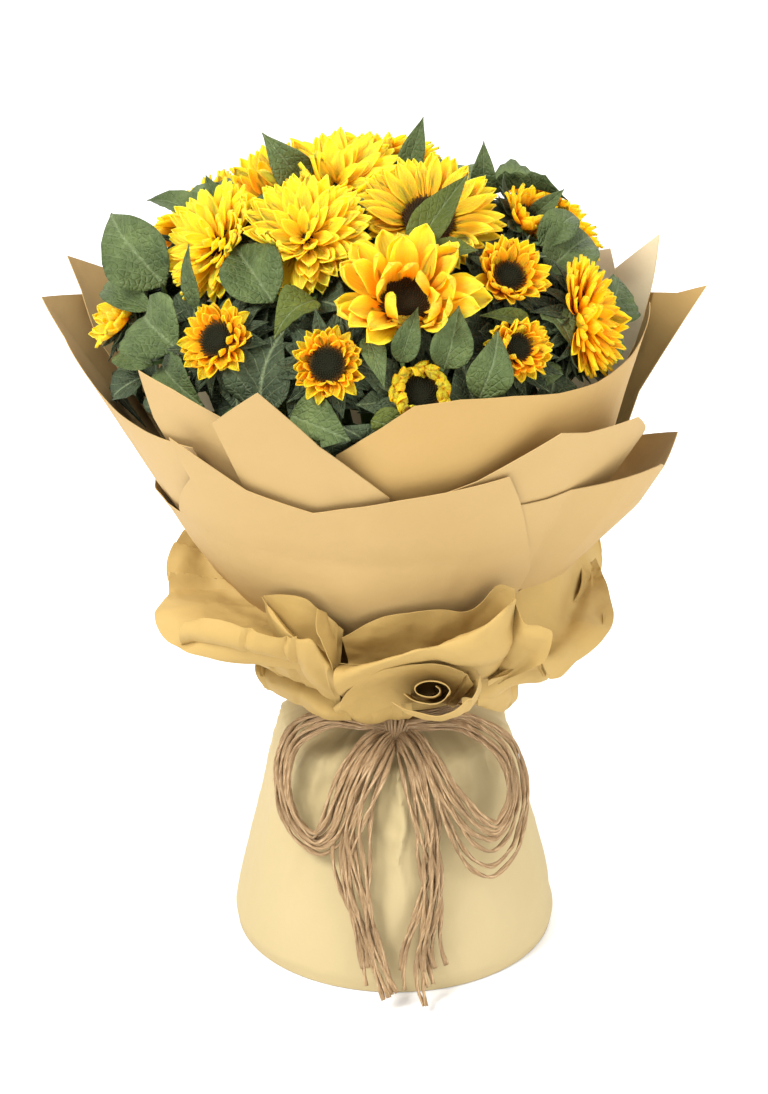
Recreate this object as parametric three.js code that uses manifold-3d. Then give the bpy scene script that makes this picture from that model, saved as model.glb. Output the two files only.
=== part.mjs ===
// Bunch of sunflowers wrapped in kraft paper, tied with jute twine and standing on its flared paper skirt.
// Millimetres, +Z up, front towards -Y, origin under the middle of the bunch at the level it stands on.
// Azimuth is read from the front, positive to the right. Polar is read down from the top of the dome.
import * as THREE from 'three';
import { mergeVertices } from 'three/addons/utils/BufferGeometryUtils.js';
import Module from 'manifold-3d';

const wasm = await Module();
wasm.setup();

// Driving dimensions
const domeCentre = new THREE.Vector3(-2, 0, 358);
const domeRadius = 212;
const tieHeight = 182;
const tieX = 14;
const mouthHeight = 475;
const mouthDepthShare = 0.86;
const stemRadius = 5.2;
const stemPitch = 9.5;
const footSpread = 1.9;
const footTwist = 50;
const plateThick = 3;
const petalThick = 0.8;
const leafThick = 0.8;
const bractLength = 17;
const paperThick = 1.3;
const paperPitch = 2.1;
const facetAngle = 15;
const clear = 0.35;
const discSeat = 0.35;
const twineBundle = 11;

// Radius of the paper cone against height, straight above the last knee
const coneKnees = [[205, 44], [240, 76], [290, 112], [343, 144]];
const coneSlope = 0.631;

const degrees = Math.PI / 180;

// Solids

function toManifold(geometry) {
  const bare = geometry.clone();
  bare.deleteAttribute('normal');
  bare.deleteAttribute('uv');
  const merged = mergeVertices(bare, 1e-4);
  return new wasm.Manifold(new wasm.Mesh({
    numProp: 3,
    vertProperties: Float32Array.from(merged.attributes.position.array),
    triVerts: Uint32Array.from(merged.index.array),
  }));
}

function toGeometry(solid) {
  const mesh = solid.getMesh();
  const geometry = new THREE.BufferGeometry();
  const positions = new Float32Array(mesh.numVert * 3);
  for (let i = 0; i < mesh.numVert; i++) {
    for (let k = 0; k < 3; k++) positions[i * 3 + k] = mesh.vertProperties[i * mesh.numProp + k];
  }
  geometry.setAttribute('position', new THREE.BufferAttribute(positions, 3));
  geometry.setIndex(Array.from(mesh.triVerts));
  return geometry;
}

function joined(solids) {
  let layer = solids;
  while (layer.length > 1) {
    const next = [];
    for (let i = 0; i < layer.length; i += 2) {
      next.push(i + 1 < layer.length ? layer[i].add(layer[i + 1]) : layer[i]);
    }
    layer = next;
  }
  return layer[0];
}

// A turned solid about +Z from [radius, height] points
function turned(profile, sides) {
  const outline = profile.map(([r, z]) => new THREE.Vector2(r, z));
  const geometry = new THREE.LatheGeometry(outline, sides).rotateX(Math.PI / 2);
  geometry.deleteAttribute('normal');
  geometry.deleteAttribute('uv');
  const merged = mergeVertices(geometry, 1e-4);
  const points = [];
  for (let i = 0; i < merged.attributes.position.count; i++) {
    points.push(new THREE.Vector3().fromBufferAttribute(merged.attributes.position, i));
  }
  const triangles = [];
  for (let i = 0; i < merged.index.count; i += 3) {
    const corners = [0, 1, 2].map((k) => merged.index.getX(i + k));
    if (new Set(corners).size === 3) triangles.push(...corners);
  }
  return closedSurface(points, triangles);
}

function largestPiece(solid) {
  const pieces = solid.decompose();
  return pieces.reduce((best, piece) => (piece.volume() > best.volume() ? piece : best));
}

// A closed surface from points and triangles, turned so that its faces point out
function closedSurface(points, triangles) {
  let volume = 0;
  for (let i = 0; i < triangles.length; i += 3) {
    const [a, b, c] = [points[triangles[i]], points[triangles[i + 1]], points[triangles[i + 2]]];
    volume += a.dot(new THREE.Vector3().crossVectors(b, c));
  }
  const index = [...triangles];
  if (volume < 0) {
    for (let i = 0; i < index.length; i += 3) [index[i], index[i + 1]] = [index[i + 1], index[i]];
  }
  const geometry = new THREE.BufferGeometry().setFromPoints(points);
  geometry.setIndex(index);
  return geometry;
}

// Triangles of a skin through rings of point numbers. A band in crossed takes the other diagonal, so that
// the two faces of a blade are split alike.
function skin(rings, tip, crossed = []) {
  const count = rings[0].length;
  const triangles = [];
  for (let s = 0; s + 1 < rings.length; s++) {
    for (let i = 0; i < count; i++) {
      const [a, b] = [rings[s][i], rings[s][(i + 1) % count]];
      const [c, d] = [rings[s + 1][i], rings[s + 1][(i + 1) % count]];
      if (crossed.includes(i)) triangles.push(a, b, c, b, d, c);
      else triangles.push(a, b, d, a, d, c);
    }
  }
  const last = rings[rings.length - 1];
  if (tip !== undefined) {
    for (let i = 0; i < count; i++) triangles.push(last[i], last[(i + 1) % count], tip);
  } else {
    for (let i = 2; i < count; i++) triangles.push(last[1], last[i], last[(i + 1) % count]);
  }
  return triangles;
}

// A closed skin through equal rings of points, ending in a fan or a tip
function loft(rings, tip, crossed) {
  const points = [];
  const numbers = rings.map((ring) => ring.map((point) => points.push(point) - 1));
  const first = numbers[0];
  const triangles = [];
  for (let i = 2; i < first.length; i++) triangles.push(first[1], first[(i + 1) % first.length], first[i]);
  const tipNumber = tip ? points.push(tip) - 1 : undefined;
  triangles.push(...skin(numbers, tipNumber, crossed));
  return closedSurface(points, triangles);
}

// A flat blade's cross-section, from its upper left corner round to its lower left one
const flatCrossed = [2];

function flatRing(centre, side, up, half, thick, tilt = 0) {
  return [[-1, 1], [1, 1], [1, -1], [-1, -1]].map(([across, face]) => centre.clone()
    .addScaledVector(side, across * half)
    .addScaledVector(up, face * thick / 2 + across * tilt));
}

// A folded blade's cross-section: upper left edge, midrib, right edge, and back along the lower face
const foldedCrossed = [1, 4];

function foldedRing(centre, side, up, half, thick, leftLift, rightLift) {
  return [[-1, 1], [0, 1], [1, 1], [1, -1], [0, -1], [-1, -1]].map(([across, face]) => centre.clone()
    .addScaledVector(side, across * half)
    .addScaledVector(up, face * thick / 2 + (across < 0 ? leftLift : across > 0 ? rightLift : 0)));
}

// A round rod through a list of points, its first and last sections square to the given directions
function rod(points, radius, sides, endDirection) {
  const rings = points.map((point, i) => {
    const before = points[Math.max(i - 1, 0)];
    const after = points[Math.min(i + 1, points.length - 1)];
    const along = after.clone().sub(before).normalize();
    if (endDirection && i === points.length - 1) along.copy(endDirection);
    const side = new THREE.Vector3(0, 1, 0).cross(along).normalize();
    const up = along.clone().cross(side);
    const ring = [];
    for (let k = 0; k < sides; k++) {
      const turn = (k / sides) * 2 * Math.PI;
      ring.push(point.clone()
        .addScaledVector(side, radius * Math.cos(turn))
        .addScaledVector(up, radius * Math.sin(turn)));
    }
    return ring;
  });
  return loft(rings);
}

// Places

function onDome(polar, azimuth, radius = domeRadius) {
  const p = polar * degrees;
  const a = azimuth * degrees;
  return new THREE.Vector3(Math.sin(p) * Math.sin(a), -Math.sin(p) * Math.cos(a), Math.cos(p))
    .multiplyScalar(radius).add(domeCentre);
}

function direction(polar, azimuth) {
  return onDome(polar, azimuth, 1).sub(domeCentre);
}

// The bunch leans a little from its tie to its mouth, and its mouth is an oval
function axisX(z) {
  return z < tieHeight ? tieX : tieX * (mouthHeight - z) / (mouthHeight - tieHeight);
}

function depthShare(z) {
  const [low, high] = [coneKnees[0][0], coneKnees[coneKnees.length - 1][0]];
  return 1 - (1 - mouthDepthShare) * Math.min(Math.max((z - low) / (high - low), 0), 1);
}

function coneRadius(z) {
  const top = coneKnees[coneKnees.length - 1];
  if (z >= top[0]) return top[1] + coneSlope * (z - top[0]);
  for (let i = 1; i < coneKnees.length; i++) {
    const [z0, r0] = coneKnees[i - 1];
    const [z1, r1] = coneKnees[i];
    if (z <= z1) return r0 + (r1 - r0) * (z - z0) / (z1 - z0);
  }
  return top[1];
}

// A point of the cone's faceted surface, so that sheets with other columns still lie parallel
function onCone(azimuth, z, offset) {
  const lower = Math.floor(azimuth / facetAngle) * facetAngle;
  const corners = [lower, lower + facetAngle].map((angle) => {
    const r = coneRadius(z) + offset;
    return new THREE.Vector3(
      axisX(z) + r * Math.sin(angle * degrees),
      -r * Math.cos(angle * degrees) * depthShare(z),
      z,
    );
  });
  return corners[0].lerp(corners[1], (azimuth - lower) / facetAngle);
}

// Paper sheets: the layer counts outwards. Each rim point is [azimuth, height, lean, bulge], where lean is
// how far the sheet stands off the cone at the mouth's height and bulge how far at the cone's last knee.
const sheets = {
  paper_back: {
    layer: 0, foot: 205,
    rim: [[122, 438, -4], [131, 470, -4], [140, 458, -6], [165, 462, -6],
      [195, 464, -6], [219, 468, -6], [236, 446, -6]],
  },
  paper_right_tall: {
    layer: 1, foot: 205,
    rim: [[112, 425, -4], [117, 460, -2], [122, 487, 0], [131, 448, -2], [150, 440, -3], [176, 452, -3]],
  },
  paper_left_tall: {
    layer: 1, foot: 205,
    rim: [[186, 450, -3], [212, 446, -3], [235, 456, -2], [247, 482, 0], [250, 462, -2], [256, 436, -4]],
  },
  paper_right_wing: {
    layer: 2, foot: 205,
    rim: [[92, 372, 0], [97, 384, 0], [101, 400, 0], [104, 471, 7.6], [110, 459, 2],
      [120, 449, 0], [142, 456, 0], [166, 446, 0]],
  },
  paper_left_wing: {
    layer: 2, foot: 205,
    rim: [[228, 444, 0], [244, 452, 0], [260, 468, 8], [270, 452, -4], [288, 426, -14],
      [306, 424, -14], [322, 428, -10]],
  },
  paper_front_left: {
    layer: 1, foot: 205,
    rim: [[311, 440, -18], [315, 482, -18], [322, 474, -18], [331, 458, -18], [344, 440, -18]],
  },
  paper_front_right: {
    layer: 1, foot: 205,
    rim: [[352, 436, -18], [361, 460, -18], [367, 478, -18], [375, 481, -18], [385, 478, -19],
      [396, 470, -24], [410, 463, -34], [430, 466, -42], [450, 478, -44]],
  },
  paper_front_centre: {
    layer: 2, foot: 205,
    rim: [[331, 458, -6], [342, 492, -6.5], [350, 448, -6], [362, 404, -6]],
  },
  paper_band_left: {
    layer: 4, foot: 262,
    rim: [[262, 352, 0], [280, 350, 0], [300, 352, 0], [319, 402, 0], [321, 440, 0], [333, 404, 0],
      [346, 390, 0], [364, 405, 0], [385, 418, 0], [395, 362, 0], [405, 318, 0]],
  },
  paper_band_right: {
    layer: 2, foot: 262,
    rim: [[370, 404, 0], [379, 416, 0], [394, 447, 0], [401, 440, 0], [416, 436, 2],
      [424, 420, 2], [438, 392, 4]],
  },
  paper_lower_right: {
    layer: 3, foot: 262,
    rim: [[384, 388, 0, 0], [398, 386, 0, 0], [405, 387, 0, 0], [418, 387, 0, 16], [430, 384, 0, 25],
      [442, 366, 0, 30], [450, 382, 0, 30], [466, 360, 0, 22]],
  },
};

// Columns of a sheet: its own rim points and the cone's facet edges between them
function rimColumns(rim) {
  const columns = [];
  for (let i = 0; i + 1 < rim.length; i++) {
    const [a0, z0, k0, b0 = 0] = rim[i];
    const [a1, z1, k1, b1 = 0] = rim[i + 1];
    columns.push(rim[i]);
    for (let edge = (Math.floor(a0 / facetAngle) + 1) * facetAngle; edge < a1; edge += facetAngle) {
      const t = (edge - a0) / (a1 - a0);
      if (edge - a0 > 1.5 && a1 - edge > 1.5) {
        columns.push([edge, z0 + (z1 - z0) * t, k0 + (k1 - k0) * t, b0 + (b1 - b0) * t]);
      }
    }
  }
  columns.push(rim[rim.length - 1]);
  return columns;
}

// Heights of one column, from the sheet's foot over the cone's knees to the rim
function columnHeights(foot, rimHeight) {
  const knees = coneKnees.map(([z]) => z).filter((z) => z > foot + 5);
  const heights = [foot, ...knees, rimHeight];
  return heights.map((z, i) => Math.min(z, rimHeight - 4 * (heights.length - 1 - i)));
}

// How far a sheet stands off the cone at a height
function standOff(z, foot, lean, bulge) {
  const knee = coneKnees[coneKnees.length - 1][0];
  const leaning = lean * Math.max(z - knee, 0) / (mouthHeight - knee);
  return leaning + bulge * Math.min((z - foot) / (knee - foot), 1);
}

function sheetSolid({ layer, foot, rim }, grow = 0) {
  const columns = rimColumns(rim);
  const rows = columnHeights(foot, 500).length;
  const points = [];
  for (const face of [1, -1]) {
    for (const [azimuth, rimHeight, lean, bulge = 0] of columns) {
      for (const z of columnHeights(foot, rimHeight)) {
        const middle = layer * paperPitch + standOff(z, foot, lean, bulge);
        points.push(onCone(azimuth, z, middle + face * (paperThick / 2 + grow * 1.2)));
      }
    }
  }
  const span = columns.length * rows;
  const triangles = [];
  for (let c = 0; c + 1 < columns.length; c++) {
    for (let r = 0; r + 1 < rows; r++) {
      const a = c * rows + r;
      const b = a + rows;
      triangles.push(a, b, b + 1, a, b + 1, a + 1);
      triangles.push(span + a, span + b + 1, span + b, span + a, span + a + 1, span + b + 1);
    }
  }
  const wall = (p, q) => triangles.push(p, span + p, span + q, p, span + q, q);
  for (let c = 0; c + 1 < columns.length; c++) {
    wall(c * rows, (c + 1) * rows);
    wall((c + 2) * rows - 1, (c + 1) * rows - 1);
  }
  for (let r = 0; r + 1 < rows; r++) {
    wall(r + 1, r);
    wall((columns.length - 1) * rows + r, (columns.length - 1) * rows + r + 1);
  }
  return closedSurface(points, triangles);
}

// Whether a point lies inside every sheet of the cone that rises beside it
function insidePaper(point) {
  const z = point.z;
  if (z < coneKnees[0][0]) return true;
  const dx = point.x - axisX(z);
  const dy = point.y / depthShare(z);
  const r = Math.hypot(dx, dy);
  const azimuth = Math.atan2(dx, -dy) / degrees;
  return Object.values(sheets).every(({ layer, foot, rim }) => {
    let a = azimuth;
    while (a < rim[0][0]) a += 360;
    if (a > rim[rim.length - 1][0]) return true;
    const i = Math.max(rim.findIndex(([edge]) => edge >= a), 1);
    const t = (a - rim[i - 1][0]) / (rim[i][0] - rim[i - 1][0]);
    const rimHeight = rim[i - 1][1] + (rim[i][1] - rim[i - 1][1]) * t;
    if (z > rimHeight + 6) return true;
    const lean = rim[i - 1][2] + (rim[i][2] - rim[i - 1][2]) * t;
    const facetSag = 1 - Math.cos(facetAngle * degrees / 2);
    const inner = coneRadius(z) * (1 - facetSag) + layer * paperPitch + standOff(z, foot, lean, 0);
    return r < inner - 2.2;
  });
}

// Flower heads: place on the dome, the way each faces, petal reach, disc radius, how far the petals stand up
// and how much more they curl. Those in two rows have ten petals in each, and the others have twelve.
const heads = {
  A: { polar: 6, azimuth: -107, face: [12, 0], reach: 47, disc: 14, rise: 46, curl: 24, rows: 2 },
  B: { polar: 20, azimuth: -92, face: [28, -70], reach: 36, disc: 10, rise: 34, curl: 20, rows: 1 },
  C: { polar: 32, azimuth: -65, face: [62, -62], reach: 42, disc: 14, rise: 14, curl: 20, rows: 2 },
  D: { polar: 24, azimuth: -30, face: [40, -12], reach: 44, disc: 14, rise: 30, curl: 26, rows: 2 },
  E: { polar: 17, azimuth: 39, face: [40, 8], reach: 49, disc: 18, rise: 4, curl: 8, rows: 2 },
  F: { polar: 37, azimuth: 10, face: [52, 2], reach: 52, disc: 18, rise: 10, curl: 14, rows: 2 },
  G: { polar: 36, azimuth: 46, face: [42, 24], reach: 30, disc: 11, rise: 40, curl: 22, rows: 1 },
  H: { polar: 49, azimuth: 61, face: [72, 80], reach: 44, disc: 15, rise: 12, curl: 10, rows: 2 },
  I: { polar: 49, azimuth: 36, face: [56, 30], reach: 25, disc: 10, rise: 26, curl: 10, rows: 1 },
  J: { polar: 48, azimuth: -39, face: [56, -24], reach: 28, disc: 13, rise: 24, curl: 16, rows: 1 },
  K: { polar: 49, azimuth: -10, face: [62, -4], reach: 25, disc: 12, rise: 22, curl: 16, rows: 1 },
  L: { polar: 54, azimuth: 11, face: [58, 6], reach: 31, disc: 14, rise: 34, curl: 40, rows: 1, radius: 208 },
  M: {
    polar: 54, azimuth: -85, face: [58, -84], reach: 36, disc: 13, rise: 24, curl: 14, rows: 1, radius: 206,
  },
  N: { polar: 30, azimuth: 82, face: [44, 74], reach: 31, disc: 11, rise: 34, curl: 16, rows: 1 },
  P: { polar: 23, azimuth: 178, face: [30, 176], reach: 46, disc: 17, rise: 10, curl: 12, rows: 2 },
  Q: { polar: 47, azimuth: -129, face: [52, -130], reach: 44, disc: 16, rise: 14, curl: 12, rows: 1 },
  S: { polar: 47, azimuth: 127, face: [52, 128], reach: 44, disc: 16, rise: 14, curl: 12, rows: 1 },
  T: {
    polar: 50, azimuth: 178, face: [54, 180], reach: 41.5, disc: 15, rise: 16, curl: 12, rows: 1, radius: 208,
  },
};

// Stems are tied in six trios. The first of each trio stands nearest the middle of the tie.
const trios = [
  ['F', 'K', 'L'], ['E', 'I', 'G'], ['N', 'H', 'S'], ['A', 'T', 'P'], ['B', 'Q', 'M'], ['D', 'C', 'J'],
];

// Leaves: the stem each grows on, its base and tip on the dome as [polar, azimuth, radius], and its width
const leaves = [
  { stem: 'M', base: [44, -73, 206], tip: [44, -90, 262], wide: 46 },
  { stem: 'B', base: [30, -76, 210], tip: [40, -98, 238], wide: 22 },
  { stem: 'B', base: [28, -84, 206], tip: [28, -92, 240], wide: 15 },
  { stem: 'B', base: [12, -96, 210], tip: [17, -92, 260], wide: 27 },
  { stem: 'J', base: [52, -50, 208], tip: [50, -69, 218], wide: 48 },
  { stem: 'M', base: [49, -70, 206], tip: [55, -90, 230], wide: 20 },
  { stem: 'D', base: [38, -30, 206], tip: [31, -54, 216], wide: 42 },
  { stem: 'D', base: [18, -46, 218], tip: [26, -64, 224], wide: 16 },
  { stem: 'J', base: [44, -52, 206], tip: [36, -63, 228], wide: 12 },
  { stem: 'D', base: [36, -17, 206], tip: [48, -23, 218], wide: 42 },
  { stem: 'C', base: [57, -60, 198], tip: [61, -80, 206], wide: 20 },
  { stem: 'J', base: [56, -56, 200], tip: [60, -38, 200], wide: 32 },
  { stem: 'K', base: [58, -18, 196], tip: [62, -4, 200], wide: 38 },
  { stem: 'A', base: [8, 130, 206], tip: [11, 132, 256], wide: 17 },
  { stem: 'N', base: [22, 102, 206], tip: [19, 106, 246], wide: 17 },
  { stem: 'N', base: [30, 88, 208], tip: [33, 92, 238], wide: 13 },
  { stem: 'N', base: [38, 66, 204], tip: [41, 88, 228], wide: 38 },
  { stem: 'N', base: [34, 70, 212], tip: [37, 90, 234], wide: 24 },
  { stem: 'H', base: [52, 72, 204], tip: [50, 88, 216], wide: 34 },
  { stem: 'H', base: [57, 62, 196], tip: [54, 78, 206], wide: 26 },
  { stem: 'F', base: [27, 15, 208], tip: [19, 56, 238], wide: 24 },
  { stem: 'F', base: [29, 20, 214], tip: [32, 36, 226], wide: 20 },
  { stem: 'I', base: [46, 44, 206], tip: [42, 29, 220], wide: 15 },
  { stem: 'I', base: [56, 24, 204], tip: [46, 31, 224], wide: 30 },
  { stem: 'L', base: [50, 17, 208], tip: [41, 22, 228], wide: 28 },
  { stem: 'L', base: [48, 7, 206], tip: [40, 12, 226], wide: 18 },
  { stem: 'K', base: [43, -1, 208], tip: [53, 3, 214], wide: 16 },
  { stem: 'H', base: [44, 51, 208], tip: [52, 51, 216], wide: 28 },
  { stem: 'I', base: [52, 46, 198], tip: [57, 42, 202], wide: 24 },
  { stem: 'L', base: [58, 0, 196], tip: [61, 10, 198], wide: 22 },
  { stem: 'E', base: [16, 0, 202], tip: [17, -22, 206], wide: 26 },
  { stem: 'J', base: [64, -50, 180], tip: [53, -56, 198], wide: 46 },
  { stem: 'K', base: [58, -27, 186], tip: [42, -26, 204], wide: 46 },
  { stem: 'K', base: [66, -12, 176], tip: [55, -13, 190], wide: 46 },
  { stem: 'L', base: [60, 24, 186], tip: [47, 22, 202], wide: 42 },
  { stem: 'F', base: [50, -3, 186], tip: [36, -9, 200], wide: 36 },
  { stem: 'I', base: [62, 44, 180], tip: [53, 50, 196], wide: 44 },
  { stem: 'P', base: [28, 150, 200], tip: [42, 158, 222], wide: 56 },
  { stem: 'P', base: [28, -152, 200], tip: [41, -158, 224], wide: 58 },
  { stem: 'Q', base: [28, -116, 200], tip: [40, -108, 226], wide: 50 },
  { stem: 'S', base: [28, 124, 200], tip: [40, 112, 226], wide: 48 },
  { stem: 'T', base: [52, 152, 200], tip: [58, 152, 216], wide: 34 },
  { stem: 'T', base: [52, -154, 200], tip: [58, -154, 216], wide: 36 },
];

for (const head of Object.values(heads)) {
  head.centre = onDome(head.polar, head.azimuth, head.radius ?? domeRadius);
  head.facing = direction(head.face[0], head.face[1]);
  head.turn = new THREE.Quaternion().setFromUnitVectors(new THREE.Vector3(0, 0, 1), head.facing);
  head.count = head.rows === 2 ? 10 : 12;
  head.matrix = new THREE.Matrix4().compose(head.centre, head.turn, new THREE.Vector3(1, 1, 1));
}

// Two neighbouring heads share the room between them in proportion to their reach
function dividers(name) {
  const own = heads[name];
  const planes = [];
  for (const [other, head] of Object.entries(heads)) {
    const between = head.centre.clone().sub(own.centre);
    const distance = between.length();
    if (other === name || distance > own.reach + head.reach + 12) continue;
    const limit = distance * own.reach / (own.reach + head.reach) - 0.4;
    planes.push({ normal: between.normalize(), limit });
  }
  return planes;
}

function hasRoom(head, planes, localPoints) {
  return localPoints.every((local) => {
    const point = local.clone().applyMatrix4(head.matrix);
    const offset = point.clone().sub(head.centre);
    return insidePaper(point) && planes.every(({ normal, limit }) => offset.dot(normal) < limit);
  });
}

// A ray petal from its root at a height of the plate: sections at each share of its length, and its tip.
// It stays within its own sector of the head, so that neighbours in a row never touch.
function petalRings({ angle, root, height, length, wide, rise, curl, shape, sector }, grow = 0) {
  const out = new THREE.Vector3(Math.cos(angle), Math.sin(angle), 0);
  const side = new THREE.Vector3(-Math.sin(angle), Math.cos(angle), 0);
  const centre = out.clone().multiplyScalar(root);
  centre.z = height;
  const rings = [];
  let reached = 0;
  for (const [share, width] of [...shape, [1, 0]]) {
    const slope = (rise + curl * share) * degrees;
    const along = out.clone().multiplyScalar(Math.cos(slope));
    along.z = Math.sin(slope);
    centre.addScaledVector(along, (share - reached) * length + (width ? 0 : grow));
    reached = share;
    const up = side.clone().cross(along).negate();
    const half = Math.min(width * wide / 2, sector * Math.hypot(centre.x, centre.y));
    rings.push(flatRing(centre, side, up, half + grow, petalThick + 2 * grow));
  }
  rings.pop();
  return { rings, tip: centre.clone() };
}

// The facet of the plate's edge that a petal grows from
function rootFacet({ angle, root, low, high, corner }) {
  const at = (turn, height) => new THREE.Vector3(root * Math.cos(turn), root * Math.sin(turn), height);
  const [left, right] = [angle - corner, angle + corner];
  return [at(left, high), at(right, high), at(right, low), at(left, low)];
}

const longPetal = [[0.42, 1], [0.8, 0.7]];
const shortPetal = [[0.52, 1]];

// The share of its sector that a petal may fill, and the radius of the inner row against the outer one
const sectorShare = 0.95;
const innerShare = 0.93;

// The petals of a head in one or two rows, each bent up until it clears the neighbouring heads, the paper
// and the petals already in place
function petalsOf(name) {
  const head = heads[name];
  if (head.petals) return head.petals;
  const planes = dividers(name);
  const corner = Math.PI / head.count;
  const sector = sectorShare * Math.tan(corner);
  const outer = { rise: head.rise, reach: head.reach, height: -2.2, shape: longPetal };
  const inner = { rise: head.rise + 17, reach: head.reach * 0.88, height: -0.7, shape: shortPetal };
  const placed = [];
  head.petals = [];
  for (const [index, [low, high, phase, root]] of plateLevels(head).entries()) {
    const row = [outer, inner][index];
    const wide = Math.min(1.05 * 2 * Math.PI * (root + head.reach * 0.3) / head.count, head.reach * 0.42);
    for (let i = 0; i < head.count; i++) {
      const angle = ((i + phase) / head.count) * 2 * Math.PI;
      const fullLength = (row.reach - root) * (1 + 0.07 * Math.sin(i * 3.7 + head.azimuth));
      let chosen = null;
      for (const share of [1, 0.8, 0.6, 0.4]) {
        for (let bend = 0; bend <= 90 && !chosen; bend += 6) {
          const rise = row.rise + bend + (i % 2 ? 3 : -3);
          if (rise > 94) break;
          const trial = {
            ...row,
            angle,
            root,
            low,
            high,
            corner,
            sector,
            length: fullLength * share,
            wide: wide * Math.sqrt(share),
            rise,
            curl: Math.min(head.curl, 112 - rise),
          };
          const { rings, tip } = petalRings(trial);
          if (!hasRoom(head, planes, [...rings.flat(), tip])) continue;
          const solid = toManifold(loft([rootFacet(trial), ...rings], tip, flatCrossed));
          if (placed.some((other) => other.intersect(solid).volume() > 1e-6)) continue;
          chosen = trial;
          placed.push(solid);
        }
      }
      head.petals.push(chosen);
    }
  }
  return head.petals;
}

// The plate's levels: [low, high, how far its facets are turned, radius], one for each row of petals
function plateLevels(head) {
  const root = head.disc + 3;
  if (head.rows === 1) return [[-plateThick, 0, 0, root]];
  return [[-plateThick, -1.6, 0, root], [-1.3, 0, 0.5, root * innerShare]];
}

// All petals on their plate in one skin: each grows from its own facet of the plate's edge
function rayPetals(name) {
  const head = heads[name];
  const points = [];
  const triangles = [];
  const polygon = (root, height, phase) => Array.from({ length: head.count }, (_, i) => {
    const angle = ((i + phase - 0.5) / head.count) * 2 * Math.PI;
    return points.push(new THREE.Vector3(root * Math.cos(angle), root * Math.sin(angle), height)) - 1;
  });
  let below = null;
  plateLevels(head).forEach(([low, high, phase, root], row) => {
    const lower = polygon(root, low, phase);
    const upper = polygon(root, high, phase);
    for (let i = 0; i < head.count; i++) {
      const next = (i + 1) % head.count;
      const facet = [upper[i], upper[next], lower[next], lower[i]];
      const petal = petalsOf(name)[row * head.count + i];
      if (!petal) {
        triangles.push(facet[1], facet[2], facet[3], facet[1], facet[3], facet[0]);
        continue;
      }
      const { rings, tip } = petalRings(petal);
      const numbers = rings.map((ring) => ring.map((point) => points.push(point) - 1));
      triangles.push(...skin([facet, ...numbers], points.push(tip) - 1, flatCrossed));
    }
    if (below) {
      for (let i = 0; i < head.count; i++) {
        const next = (i + 1) % head.count;
        triangles.push(below[i], lower[i], below[next], below[next], lower[i], lower[next]);
      }
    } else {
      for (let i = 2; i < head.count; i++) triangles.push(lower[0], lower[i - 1], lower[i]);
    }
    below = upper;
  });
  for (let i = 2; i < head.count; i++) triangles.push(below[0], below[i], below[i - 1]);
  return closedSurface(points, triangles);
}

// The room that a head takes up, a little larger all round, for the leaves to keep out of
function headRoom(name) {
  const head = heads[name];
  const solids = [];
  plateLevels(head).forEach(([low, high, , root], row) => {
    for (const petal of petalsOf(name).slice(row * head.count, (row + 1) * head.count)) {
      if (!petal) continue;
      const { rings, tip } = petalRings(petal, clear);
      const side = new THREE.Vector3(-Math.sin(petal.angle), Math.cos(petal.angle), 0);
      const facet = new THREE.Vector3(Math.cos(petal.angle), Math.sin(petal.angle), 0)
        .multiplyScalar(root * Math.cos(Math.PI / head.count) + clear / 2).setZ((low + high) / 2);
      const half = root * Math.sin(Math.PI / head.count) + 2 * clear;
      rings.unshift(flatRing(facet, side, new THREE.Vector3(0, 0, 1), half, high - low + 2 * clear));
      solids.push(toManifold(loft(rings, tip, flatCrossed)));
    }
  });
  const rim = head.disc + 3 + 2 * clear;
  const plate = new THREE.CylinderGeometry(rim, rim, plateThick + 2 * clear, 14)
    .rotateX(Math.PI / 2).translate(0, 0, -plateThick / 2);
  return joined([toManifold(plate), toManifold(discGeometry(head, clear)), ...solids]);
}

// The disc: a low dome whose surface rises and falls with its florets
function discGeometry(head, grow = 0) {
  const rings = 3;
  const around = head.disc > 13 ? 12 : 10;
  const relief = 0.75;
  const top = 3.2 + head.disc * 0.14;
  const points = [new THREE.Vector3(0, 0, discSeat - grow), new THREE.Vector3(0, 0, top + grow)];
  const triangles = [];
  const row = (radius, height) => {
    const first = points.length;
    for (let i = 0; i < around; i++) {
      const turn = ((i + first * 0.5 / around) / around) * 2 * Math.PI;
      const bump = height(i);
      points.push(new THREE.Vector3(radius * Math.cos(turn), radius * Math.sin(turn), bump));
    }
    return first;
  };
  const radius = head.disc + grow;
  const levels = [row(radius - 0.8, () => discSeat - grow)];
  for (let k = 0; k < rings; k++) {
    const share = 1 - k / rings;
    const dome = 3.2 + head.disc * 0.14 * (1 - share * share) + grow - (k === 0 ? 1.4 : 0);
    levels.push(row(radius * share, (i) => dome + ((i + k) % 2 ? relief : -relief) * (k === 0 ? 0.4 : 1)));
  }
  for (let i = 0; i < around; i++) {
    const next = (i + 1) % around;
    triangles.push(0, levels[0] + next, levels[0] + i);
    triangles.push(1, levels[rings] + i, levels[rings] + next);
    for (let k = 0; k < rings; k++) {
      const a = levels[k] + i;
      const b = levels[k] + next;
      const c = levels[k + 1] + i;
      const d = levels[k + 1] + next;
      triangles.push(a, b, d, a, d, c);
    }
  }
  return closedSurface(points, triangles);
}

// Green parts

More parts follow.
